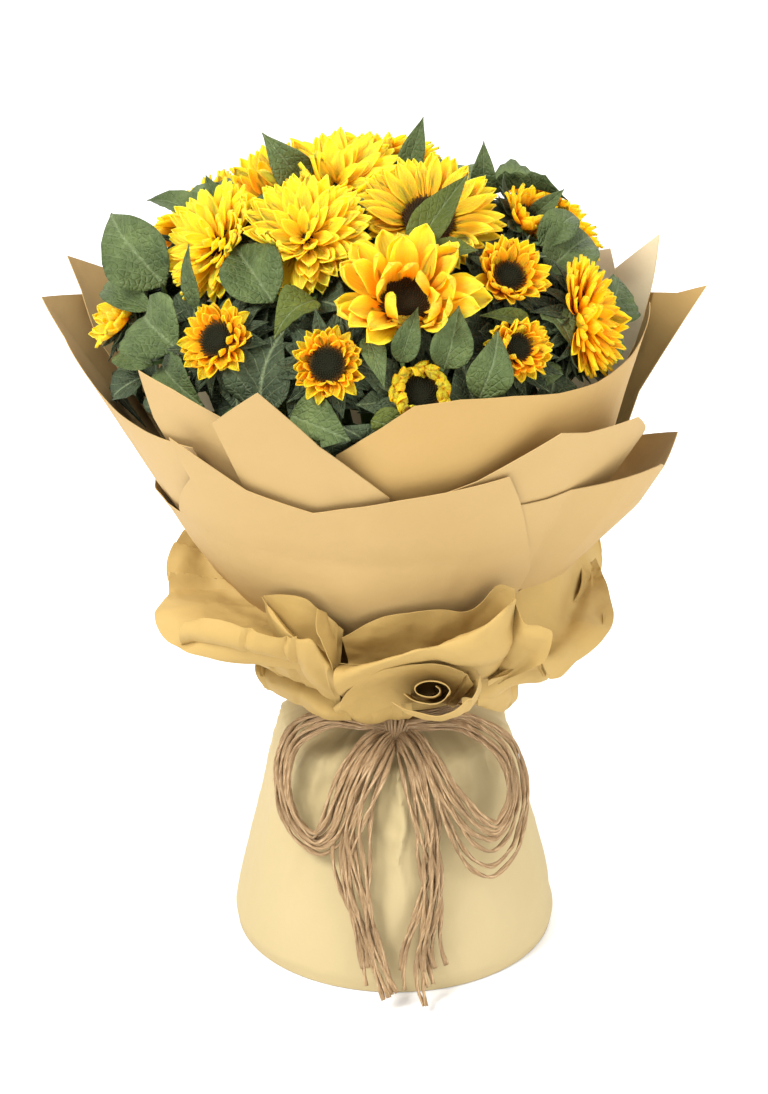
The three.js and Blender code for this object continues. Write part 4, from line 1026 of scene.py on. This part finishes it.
def discHeight(head, share):
    # The dome of the disc, with a shallow dip in its middle
    dip = head["disc"] * 0.07 * math.exp(-(share / 0.3) ** 2)
    return 1.2 + head["disc"] * 0.16 * (1 - share ** 2.4) - dip


def addDisc(name):
    head = heads[name]
    rng = random.Random("disc" + name)
    builder = Builder()
    disc = head["disc"]
    rings, around = floret["domeRings"], floret["domePoints"]
    profile = [(r / rings * disc, discHeight(head, r / rings) - (0.9 if r == rings else 0))
               for r in range(1, rings + 1)] + [(disc, 0.3)]
    dome = np.array([(0, 0, discHeight(head, 0))] + ringPoints(profile, around) + [(0, 0, 0.3)])
    last = len(dome) - 1
    faces = [(0, 1 + k, 1 + (k + 1) % around) for k in range(around)]
    faces += gridFaces(around, rings + 1, flip=True, start=1)
    faces += [(last - around + (k + 1) % around, last - around + k, last) for k in range(around)]
    uvs = np.column_stack([np.hypot(dome[:, 0], dome[:, 1]) / disc, dome[:, 2] * 0])
    builder.add(toWorld(head, dome), faces, uvs)
    golden = math.pi * (3 - math.sqrt(5))
    count = int((disc / floret["spacing"]) ** 2 * 2.9)
    for k in range(count):
        share = math.sqrt((k + 0.5) / count)
        turn = k * golden
        radius = share * disc * 0.985
        lean = (share ** 3) * 0.75 - (0.35 if share < 0.35 else 0)
        size = floret["spacing"] * (0.75 + 0.4 * share) * rng.uniform(0.85, 1.15)
        tall = floret["height"] * (0.35 + 0.75 * share ** 2) * rng.uniform(0.8, 1.25)
        x, y, z = (budPoints * (size, size, tall)).T
        outwards = radius + x * math.cos(lean) + z * math.sin(lean)
        placed = np.column_stack([outwards * math.cos(turn) - y * math.sin(turn),
                                  outwards * math.sin(turn) + y * math.cos(turn),
                                  discHeight(head, share) - 0.3 - x * math.sin(lean) + z * math.cos(lean)])
        builder.add(toWorld(head, placed), budFaces, np.column_stack([x * 0 + share, budPoints[:, 2]]))
    finish = "warmDisc" if head["style"] in ("small", "curled", "tuft") else "darkDisc"
    builder.piece(f"florets{name}", [finishes[finish]], "disc", [f"disc_{name}"])


for name in heads:
    addPetals(name)
    addDisc(name)
print("flower heads")


# Leaves, stems and green cups

trios = [["F", "K", "L"], ["E", "I", "G"], ["N", "H", "S"], ["A", "T", "P"], ["B", "Q", "M"], ["D", "C", "J"]]
stemSize = {"radius": 5.2, "pitch": 9.5, "footSpread": 1.9, "footTwist": 50, "bend": 244, "stalk": 1.5}
greenFinishes = ["leaf", "stem", "oliveLeaf", "bract"]


def tiePoint(trio, member):
    places = []
    for reach, angle in ((1, 60 * trio), (2, 60 * trio), (math.sqrt(3), 60 * trio + 30)):
        a = math.radians(angle)
        places.append(Vector((math.sin(a), -math.cos(a))) * reach * stemSize["pitch"])
    middle = (places[0] + places[1] + places[2]) / 3
    return places[member].lerp(middle, 0.2)


def stemCurve(name):
    trio = next(i for i, names in enumerate(trios) if name in names)
    tie = tiePoint(trio, trios[trio].index(name))
    centre, back = heads[name]["centre"], heads[name]["facing"]
    a = math.radians(stemSize["footTwist"])
    foot = Vector((tie.x * math.cos(a) - tie.y * math.sin(a), tie.x * math.sin(a) + tie.y * math.cos(a)))
    levels = [(tie * 1.5, stemSize["bend"]), (tie, bunch["tie"]), (foot * stemSize["footSpread"], 0.0)]
    low = [Vector((bunch["tieX"] + place.x, place.y, z)) for place, z in levels]
    return [centre - back * 12, centre - back * 40] + low


def polyline(points, step):
    result = []
    for a, b in zip(points, points[1:]):
        count = max(int((b - a).length / step), 1)
        result += [a.lerp(b, k / count) for k in range(count)]
    return result + [points[-1]]


def nearestOnStem(name, place):
    return min(polyline(stemCurve(name)[:4], 8), key=lambda p: (p - place).length)


def addCup(builder, head):
    # The green cup behind the petals
    disc = head["disc"]
    profile = [(disc + 2.4, -3.5), (disc + 1.6, -6.5), (disc * 0.62 + 3, -10.5), (8.0, -14.5), (5.6, -19)]
    around = 20
    points = ringPoints(profile, around)
    faces = gridFaces(around, len(profile), flip=True)
    faces.append(tuple(range(around)))
    faces.append(tuple(len(points) - around + k for k in reversed(range(around))))
    uvs = [(0.25, 0.5)] * len(points)
    builder.add(toWorld(head, np.array(points)), faces, uvs, greenFinishes.index("stem"))


def addBlade(builder, blade, points, finish="bract"):
    builder.add(points, blade[1], blade[2], greenFinishes.index(finish))


def addBracts(builder, name, rng):
    # Rows of pointed bracts round the back of a head, their tips turned every way
    head = heads[name]
    planes = dividers(name)
    disc = head["disc"]
    for ring in range(bract["rings"]):
        for i in range(bract["count"]):
            angle = 2 * math.pi * (i + 0.5 * ring + rng.uniform(-0.3, 0.3)) / bract["count"]
            slope = math.radians(min(head["rise"] - 8, 18) + rng.uniform(-22, 10) - ring * 9)
            out = Vector((math.cos(angle), math.sin(angle), 0))
            along = out * math.cos(slope) + Vector((0, 0, math.sin(slope)))
            root = out * (disc - 1 - ring * 2) + Vector((0, 0, -4.5 - ring * 4))
            length = (19 + disc * 0.4 + ring * 4) * rng.uniform(0.85, 1.2)
            start = head["turn"] @ root + head["centre"]
            end = head["turn"] @ (root + along * length) + head["centre"]
            if not all((end - head["centre"]).dot(normal) < limit + 6 for normal, limit in planes):
                continue
            up = head["turn"] @ Vector((-math.sin(slope) * out.x, -math.sin(slope) * out.y, math.cos(slope)))
            points = bendLeaf(bractBlade, start, end, rng.uniform(9.5, 13.5), up, rng.uniform(-0.06, 0.16),
                              0.08, rng.uniform(0, 6), rng.uniform(-0.25, 0.55), 1.5)
            if meetsPlaced(points):
                end = end - head["facing"] * length * 0.5
                points = bendLeaf(bractBlade, start, end, 9, up, 0.05, 0.05, 0.0, -0.1, 1.5)
                if crosses(petalTree, points, bractBlade[1]):
                    continue
            addBlade(builder, bractBlade, points)


def addFillers(builder, name, rng):
    # Dark leaves low between the heads, so that no gap shows down to the stems; their dark green is partly
    # painted shade
    head = heads[name]
    for k in range(filler["count"]):
        polar = head["polar"] + rng.uniform(-17, 17)
        azimuth = head["azimuth"] + rng.uniform(-20, 20) / max(math.sin(math.radians(head["polar"])), 0.25)
        radius = rng.uniform(*filler["radius"])
        heading = rng.uniform(0, 2 * math.pi)
        length = rng.uniform(*filler["length"])
        start = onDome(polar, azimuth, radius)
        outward = direction(polar, azimuth)
        east = Vector((0, 0, 1)).cross(outward).normalized()
        north = outward.cross(east)
        flat = (east * math.cos(heading) + north * math.sin(heading)) * length
        end = start + flat + outward * rng.uniform(0, 12)
        points = bendLeaf(bractBlade, start, end, rng.uniform(*filler["width"]), outward,
                          rng.uniform(0.06, 0.2), 0.07, rng.uniform(0, 6), rng.uniform(-0.3, 0.4))
        if not meetsPlaced(points):
            addBlade(builder, bractBlade, points)
            root = nearestOnStem(name, start - outward * 20)
            stalk = spline([root, root.lerp(start, 0.5), start + (end - start) * 0.05], 6)
            addStalk(builder, stalk, filler["stalk"], 6)


def meetsPlaced(points):
    return crosses(petalTree, points, bractBlade[1]) or crosses(leafTree, points, bractBlade[1])


def addStalk(builder, path, radius, sides):
    points, faces, uvs = tube(path, radius, sides)
    builder.add(keepInPaper(points, leaf["gap"]), faces, uvs, greenFinishes.index("stem"))


def addGreens(index, trio):
    blades, solid = Builder(), Builder()
    rng = random.Random(f"greens{index}")
    for name in trio:
        path = spline(polyline(stemCurve(name), 14), 7)
        path[-1].z = 1.6
        solid.add(*tube(path, stemSize["radius"], 12, up=Vector((0, 1, 0))), greenFinishes.index("stem"))
        addCup(solid, heads[name])
        addBracts(blades, name, rng)
        addFillers(blades, name, rng)
    for one in placedLeaves:
        if one["stem"] in trio:
            start, end, outward = one["start"], one["end"], one["outward"]
            addBlade(blades, leafBlade, one["points"], one["finish"])
            root = nearestOnStem(one["stem"], start - outward * 34)
            inner = start + (end - start) * 0.06
            stalk = spline([root, root.lerp(start, 0.55) + outward * 2, inner], 5)
            addStalk(solid, stalk, stemSize["stalk"], 8)
    materials = [finishes[finish] for finish in greenFinishes]
    piece = blades.piece(f"leaves{index + 1}", materials, "green", [f"leafy_stems_{index + 1}"])
    thicken(piece, leaf["thickness"], use_even_offset=False)
    solid.piece(f"stems{index + 1}", materials, "green", [f"leafy_stems_{index + 1}"])


petalTree = treeOf(petalsSoFar)
for index, trio in enumerate(trios):
    addGreens(index, trio)
print("leaves and stems")


# Paper wrap

foldRng = random.Random(19)
# Shallow folds that run up the wrap: azimuth at the foot, drift, width in degrees, depth, lowest place
# and length
foldLines = [(foldRng.uniform(-180, 180), foldRng.uniform(-16, 16), foldRng.uniform(2.5, 6.5),
              foldRng.uniform(-1.3, 1.6), foldRng.uniform(205, 330), foldRng.uniform(60, 190))
             for k in range(46)]


def paperFold(azimuth, z):
    total = 0.0
    for start, drift, width, deep, low, long in foldLines:
        t = (z - low) / long
        near = abs((azimuth - start - drift * t + 180) % 360 - 180)
        if 0 < t < 1 and near < width:
            total += deep * (1 - near / width) * min(t, 1 - t) * paper["foldReach"]
    return max(min(total, paper["deepestFold"]), -paper["deepestFold"])


def paperSwell(azimuth, z):
    # The soft unevenness that the layers of the wrap share
    turn = math.pi - math.radians(azimuth)
    coarse, fine = noiseRound(turn, 1.5, z / 130), noiseRound(turn, 6, z / 34)
    return paper["swell"] * coarse * 1.4 + paper["dent"] * fine + paperFold(azimuth, z)


def onWrap(turn, radius, z):
    return (axisX(z) + radius * math.sin(turn), -radius * math.cos(turn) * depthShare(z), z)


def addSheet(name, sheet):
    corners = sheet["rim"][0].tolist()
    stops = sorted({*corners, *np.arange(corners[0], corners[-1], paper["columnStep"]).tolist()})
    columns = stops[:1]
    for stop in stops[1:]:
        if stop - columns[-1] > 0.35 or stop in corners:
            columns.append(stop)
    points, uvs = [], []
    rows = paper["rows"]
    for azimuth in columns:
        height, lean, bulge = sheetRim(sheet, azimuth)
        for r in range(rows + 1):
            z = sheet["foot"] + (height - sheet["foot"]) * r / rows
            uneven = clamp((z - paper["evenBelow"]) / paper["evenFade"])
            radius = sheetRadius(sheet, z, lean, bulge) + paperSwell(azimuth, z) * uneven
            points.append(onWrap(math.radians(azimuth), radius, z))
            uvs.append((azimuth / 60, z / 200))
    faces = gridFaces(rows + 1, len(columns), closed=False, flip=True)
    label = "".join(part.capitalize() for part in name.split("_"))
    outside = sheet.get("finish", "kraft")
    sides = [finishes[outside], finishes[sheet.get("inside", outside)]]
    piece = makePiece(label[0].lower() + label[1:], points, faces, sides, [name], uvs)
    thicken(piece, paper["thickness"], material_offset=1)
    crispEdges(piece)


for name, sheet in sheets.items():
    addSheet(name, sheet)
print("paper wrap")


# Collar and skirt

def addRing(name, nodeName, around, rows, place, finish, thickness, crease):
    points = [place(2 * math.pi * k / around, r / rows) for k in range(around) for r in range(rows + 1)]
    uvs = [(k / around * 8, r / rows) for k in range(around) for r in range(rows + 1)]
    faces = [tuple(i % len(points) for i in face)
             for face in gridFaces(rows + 1, around + 1, closed=False, flip=True)]
    piece = makePiece(name, points, faces, [finishes[finish]], [nodeName], uvs)
    thicken(piece, thickness)
    crispEdges(piece, crease)


collar = {"flutes": 11, "deep": 11, "sway": 0.05, "lift": 5, "front": 24, "inFront": 44, "uneven": 7,
          "unevenRim": 12, "clearance": 9, "oval": 0.94}
# The collar's section, as (radius, height)
collarCurve = spline([(46.1, 194, 0), (98, 210, 0), (136, 234, 0), (148, 260, 0), (143, 286, 0)], 2.5)


def collarPlace(turn, share):
    at = share * (len(collarCurve) - 1)
    i = min(int(at), len(collarCurve) - 2)
    radius, height = collarCurve[i].lerp(collarCurve[i + 1], at - i)[:2]
    facing = max(math.cos(turn), 0)
    # The frills cover it at the front
    hidden = clamp((facing - 0.05) / 0.35)
    phase = collar["flutes"] * turn + 0.8 * math.sin(3 * turn) + 0.6
    radius += collar["deep"] * share * math.sin(phase) * (1 - 0.6 * hidden)
    height += collar["lift"] * share * math.cos(phase * 0.5 + 1) + collar["front"] * share * facing ** 1.5
    sway = collar["sway"] * share * math.sin(2 * phase) * (1 - hidden)
    place = Vector((math.sin(turn) * 4, math.cos(turn) * 4, share * 3))
    radius += noise.noise(place) * collar["uneven"] * share
    height += noise.noise(place * 0.8 + Vector((5, 2, 7))) * collar["unevenRim"] * share * (1 - hidden)
    inner = coneRadius(height - 8) + collar["clearance"]
    radius = radius + (min(radius, inner) - radius) * hidden * min(share * 2, 1)
    height = height - collar["inFront"] * hidden * share
    turn += sway
    oval = collar["oval"] if share > 0 else 1
    return (axisX(height) + radius * math.sin(turn), -radius * math.cos(turn) * oval, height)


def skirtPlace(turn, share):
    hem, top = 0.25, skirtLevels[-1][0]
    z = hem + (top - hem) * share
    radius = skirtSkin(turn, z)
    return (bunch["tieX"] + radius * math.sin(turn), -radius * math.cos(turn), z)


addRing("ruffledCollar", "paper_collar", 240, 26, collarPlace, "frill", 0.7, 34)
addRing("paperSkirt", "paper_skirt", 260, 64, skirtPlace, "cream", 0.8, 75)


# Frills of the collar: each is a sheet through rows of places, from its free edge inwards
frill = {"spacing": 2.0, "thickness": 0.45, "cell": 24, "crumple": 1.6, "crease": 2.4}
frills = {
    "frontPocket": dict(pleats=3, depth=0.9, rows=[
        [(-22, -118, 283), (4, -122, 300), (36, -123, 306), (64, -117, 303), (82, -112, 318),
         (94, -107, 314)],
        [(-18, -110, 258), (8, -108, 252), (36, -107, 251), (64, -107, 256), (84, -108, 274),
         (95, -110, 298)],
        [(-26, -136, 266), (0, -147, 278), (30, -151, 290), (60, -151, 299), (83, -146, 315),
         (94, -132, 318)],
        [(-26, -134, 251), (2, -142, 268), (34, -146, 280), (64, -145, 280), (86, -138, 285),
         (93, -128, 295)],
        [(-18, -98, 224), (8, -104, 238), (36, -104, 240), (64, -103, 242), (84, -100, 248),
         (92, -98, 266)]]),
    "leftFlute": dict(pleats=4, depth=1.0, rows=[
        [(-75, -98, 304), (-61, -110, 311), (-46, -117, 311), (-38, -119, 304), (-29, -118, 296),
         (-21, -116, 287)],
        [(-67, -104, 287), (-57, -112, 282), (-48, -116, 278), (-39, -118, 276), (-30, -116, 270),
         (-23, -112, 259)],
        [(-76, -102, 305), (-65, -122, 296), (-52, -134, 289), (-42, -137, 289), (-35, -134, 276),
         (-23, -126, 252)],
        [(-65, -104, 273), (-56, -116, 267), (-48, -122, 261), (-40, -122, 255), (-32, -116, 245),
         (-24, -106, 232)],
        [(-51, -84, 242), (-46, -88, 235), (-40, -90, 228), (-35, -90, 223), (-28, -88, 218),
         (-23, -86, 214)]]),
    "flutePleat": dict(pleats=2, depth=0.8, rows=[
        [(-38, -126, 308), (-38, -136, 300), (-34, -140, 286), (-23, -130, 253)],
        [(-33, -119, 301), (-29, -122, 290), (-26, -124, 276), (-21, -118, 246)]]),
    "leftLip": dict(pleats=7, depth=2.2, rows=[
        [(-127, -104, 287), (-113, -114, 295), (-94, -124, 296), (-77, -130, 293), (-62, -134, 289),
         (-52, -134, 292)],
        [(-132, -102, 275), (-115, -114, 282), (-96, -122, 281), (-78, -126, 277), (-63, -128, 274),
         (-50, -126, 273)],
        [(-131, -88, 259), (-109, -96, 260), (-85, -104, 261), (-64, -108, 259), (-51, -104, 249),
         (-40, -100, 238)]]),
    "leftWing": dict(pleats=10, depth=6.0, rows=[
        [(-129, 20, 302), (-138, 4, 299), (-145, -14, 291), (-143, -40, 280), (-150, -62, 270),
         (-140, -88, 263), (-108, -106, 263), (-49, -112, 259)],
        [(-126, 18, 301), (-130, 2, 295), (-132, -16, 288), (-131, -40, 280), (-127, -70, 276),
         (-112, -98, 277), (-88, -118, 279), (-45, -120, 270)],
        [(-123, 12, 302), (-119, 0, 290), (-114, -16, 281), (-106, -38, 275), (-98, -64, 275),
         (-82, -94, 279), (-64, -110, 278), (-42, -110, 264)],
        [(-118, 4, 303), (-107, -12, 293), (-95, -30, 284), (-83, -50, 279), (-72, -68, 275),
         (-58, -86, 271), (-48, -94, 264), (-39, -96, 251)]]),
    "leftUnder": dict(pleats=8, depth=2.6, rows=[
        [(-146, -60, 274), (-136, -85, 267), (-106, -101, 268), (-76, -106, 267), (-49, -107, 264),
         (-27, -112, 249)],
        [(-128, -56, 257), (-112, -74, 253), (-89, -86, 249), (-68, -92, 248), (-48, -94, 241),
         (-27, -98, 226)],
        [(-79, -30, 224), (-74, -46, 225), (-63, -58, 222), (-53, -62, 218), (-40, -66, 211),
         (-24, -70, 205)]]),
    "rightWing": dict(hug=True, pleats=8, depth=3.6, rows=[
        [(156, 20, 274), (163, -10, 269), (165, -44, 258), (156, -66, 254), (137, -92, 248),
         (123, -100, 243), (106, -107, 251), (77, -106, 238)],
        [(153, 16, 274), (152, -12, 266), (146, -50, 262), (138, -75, 262), (123, -104, 263),
         (113, -112, 262), (102, -116, 262), (77, -110, 246)],
        [(152, 10, 274), (141, -16, 267), (131, -48, 265), (123, -71, 266), (111, -96, 266),
         (104, -104, 266), (95, -106, 261), (77, -102, 245)],
        [(148, 2, 304), (142, -26, 304), (132, -52, 304), (120, -70, 302), (108, -84, 299),
         (100, -90, 296), (92, -94, 290), (77, -98, 276)]]),
    "rightUnder": dict(pleats=8, depth=2.6, rows=[
        [(161, -42, 263), (152, -63, 260), (134, -88, 255), (120, -96, 251), (102, -100, 258),
         (76, -98, 248), (56, -97, 240)],
        [(148, -40, 241), (140, -57, 237), (124, -76, 233), (113, -84, 233), (100, -89, 232),
         (78, -88, 222), (60, -86, 215)],
        [(102, -20, 223), (99, -40, 221), (93, -52, 216), (88, -58, 213), (83, -63, 209),
         (70, -64, 202), (56, -60, 201)]]),
    "rightFlute": dict(pleats=3, depth=1.4, rows=[
        [(93, -128, 317), (99, -140, 305), (110, -146, 304), (118, -146, 301), (118, -142, 288),
         (114, -134, 272)],
        [(89, -122, 298), (93, -132, 288), (101, -136, 286), (108, -136, 284), (109, -132, 276),
         (105, -124, 262)],
        [(81, -98, 246), (83, -100, 244), (85, -102, 243), (87, -102, 243), (87, -100, 240),
         (84, -96, 236)]]),
    "swirlFold": dict(pleats=5, depth=1.8, rows=[
        [(-25, -118, 230), (-17, -132, 250), (-3, -142, 265), (17, -146, 274), (38, -146, 277),
         (56, -142, 272), (67, -132, 256)],
        [(-20, -108, 223), (-9, -113, 233), (4, -116, 241), (20, -118, 246), (37, -118, 247),
         (52, -116, 243), (60, -112, 236)],
        [(-12, -96, 209), (-1, -100, 216), (10, -104, 223), (23, -106, 227), (36, -106, 227),
         (47, -104, 225), (54, -100, 219)]]),
    "swirlOuter": dict(pleats=9, depth=2.2, rows=[
        [(-28, -92, 217), (-14, -114, 240), (4, -129, 260), (26, -134, 271), (48, -134, 274),
         (64, -130, 270), (72, -118, 250), (72, -110, 234)],
        [(-25, -88, 210), (-11, -105, 228), (6, -117, 246), (27, -124, 258), (47, -126, 263),
         (60, -122, 259), (66, -112, 244), (64, -105, 231)],
        [(-16, -64, 194), (-4, -72, 203), (12, -77, 211), (28, -80, 220), (44, -80, 223),
         (53, -78, 222), (57, -74, 216), (55, -70, 207)]]),
    "swirlLip": dict(pleats=4, depth=1.2, rows=[
        [(12, -134, 242), (24, -142, 240), (44, -147, 240), (57, -147, 245), (67, -142, 253),
         (72, -134, 262)],
        [(17, -128, 235), (28, -132, 230), (44, -134, 229), (58, -134, 232), (67, -130, 239),
         (71, -124, 246)],
        [(24, -104, 218), (34, -106, 215), (45, -106, 212), (54, -106, 215), (61, -104, 218),
         (65, -100, 224)]]),
    "leftCrumple": dict(pleats=8, depth=2.6, rows=[
        [(-82, -40, 229), (-72, -52, 229), (-57, -66, 231), (-43, -76, 230), (-28, -84, 222),
         (-13, -88, 215)],
        [(-83, -52, 222), (-73, -64, 221), (-59, -76, 221), (-45, -84, 217), (-32, -88, 210),
         (-17, -88, 207)],
        [(-77, -50, 209), (-68, -58, 207), (-56, -66, 205), (-44, -72, 201), (-31, -76, 198),
         (-16, -76, 196)]]),
    "rightCrumple": dict(pleats=6, depth=2.6, rows=[
        [(71, -86, 226), (78, -82, 228), (87, -66, 223), (96, -46, 216), (102, -26, 212)],
        [(70, -84, 217), (79, -80, 217), (90, -66, 211), (97, -48, 202), (100, -30, 196)],
        [(73, -72, 208), (81, -66, 201), (88, -54, 193), (91, -42, 187), (90, -30, 182)]]),
    "frontCrumple": dict(pleats=6, depth=2.2, rows=[
        [(-24, -90, 226), (-12, -97, 219), (0, -99, 219), (12, -100, 224), (25, -98, 221)],
        [(-28, -84, 214), (-14, -89, 206), (0, -91, 207), (12, -92, 211), (26, -90, 208)],
        [(-22, -66, 197), (-11, -69, 192), (0, -70, 192), (12, -70, 194), (24, -68, 193)]]),
}
swirl = {"centre": (37, 260), "width": 17, "height": 10, "turns": 1.6, "front": -151, "back": -112,
         "drop": 22, "columns": 15}


def swirlRow(size, depth, drop):
    # One winding row of the heart of the swirl, a strip rolled up on itself
    row = []
    for k in range(swirl["columns"]):
        share = k / (swirl["columns"] - 1)
        turn = math.radians(190 + 360 * swirl["turns"] * share)
        x = swirl["centre"][0] + swirl["width"] * (1 - 0.7 * share) * size * math.cos(turn)
        z = swirl["centre"][1] + swirl["height"] * (1 - 0.7 * share) * size * math.sin(turn) - drop
        row.append((x, depth, z))
    return row


frills["swirlHeart"] = dict(pleats=5, depth=1.0, rows=[
    swirlRow(1.0, swirl["front"], 0), swirlRow(0.9, (swirl["front"] + swirl["back"]) / 2, swirl["drop"] / 2),
    swirlRow(0.7, swirl["back"], swirl["drop"])])


def smoothRows(grid, steps):
    # Points on smooth curves down the columns of a grid of places
    ends = np.vstack([2 * grid[:1] - grid[1:2], grid, 2 * grid[-1:] - grid[-2:-1]])
    rows = [betweenFour(*ends[i - 1:i + 3], k / steps) for i in range(1, len(ends) - 2) for k in range(steps)]
    return np.array(rows + [ends[-2]])


def crumpled(points, normals):
    # Flat facets between sharp creases, as in paper that has been crushed
    flat = points.reshape(-1, 3)
    moved = flat.copy()
    for i, (point, normal) in enumerate(zip(flat, normals.reshape(-1, 3))):
        place = Vector(point)
        near = noise.voronoi(place / frill["cell"])[0]
        facet = frill["crumple"] * (0.45 - near[0])
        ridge = abs(noise.noise(place / 38 + Vector((7, 3, 1)))) + 0.25 * abs(noise.noise(place / 12))
        moved[i] = point + normal * (facet + frill["crease"] * (0.4 - ridge * 1.6))
    return moved.reshape(points.shape)


def againstWrap(x, y, z):
    # The place beside this one where the paper touches the outside of the wrap
    return onWrap(math.atan2(x - axisX(z), -y / depthShare(z)), coneRadius(z) + 4 * paper["pitch"], z)


def addFrill(name, shape):
    rng = random.Random(name)
    rows = np.array(shape["rows"], float)
    if shape.get("hug"):
        rows[-1] = [againstWrap(*place) for place in rows[-1]]
    stepOf = [np.linalg.norm(np.diff(rows, axis=axis), axis=2).mean() for axis in (0, 1)]
    perRow, perColumn = [max(int(step / frill["spacing"]), 3) for step in stepOf]
    across = smoothRows(np.swapaxes(rows, 0, 1), perColumn)
    grid = smoothRows(np.swapaxes(across, 0, 1), perRow)
    normals = np.cross(np.gradient(grid, axis=1), np.gradient(grid, axis=0))
    normals /= np.maximum(np.linalg.norm(normals, axis=2, keepdims=True), 1e-9)
    grid = crumpled(grid, normals)
    high, wide = grid.shape[:2]
    # Pleats: straight folds that fade from the free edge inwards
    stops = np.sort([rng.uniform(0, 1) for k in range(shape["pleats"])])
    turns = [rng.uniform(0.4, 1) * (1 if k % 2 else -1) for k in range(shape["pleats"])]
    for r in range(high):
        share = r / (high - 1)
        fold = np.interp(np.linspace(0, 1, wide) + 0.06 * share, stops, turns)
        lift = fold * shape["depth"] * (1 - 0.75 * share)
        grid[r] += normals[r] * lift[:, None]
    uvs = [(c / wide, r / high) for r in range(high) for c in range(wide)]
    piece = makePiece(f"frill_{name}", grid.reshape(-1, 3), gridFaces(wide, high, closed=False),
                      [finishes["frill"]], ["paper_collar"], uvs)
    thicken(piece, frill["thickness"])
    crispEdges(piece)


for name, shape in frills.items():
    addFrill(name, shape)
print("collar and skirt")


# Floor

def addFloor():
    selectOnly()
    bpy.ops.mesh.primitive_plane_add(size=12, location=(0, 0, -0.0005))
    floor = bpy.context.object
    floor.name = "floor"
    material, tree, shader = newMaterial("paleFloor", 0.9, 0.1)
    shader.inputs["Base Color"].default_value = (0.9, 0.9, 0.9, 1)
    floor.data.materials.append(material)


addFloor()
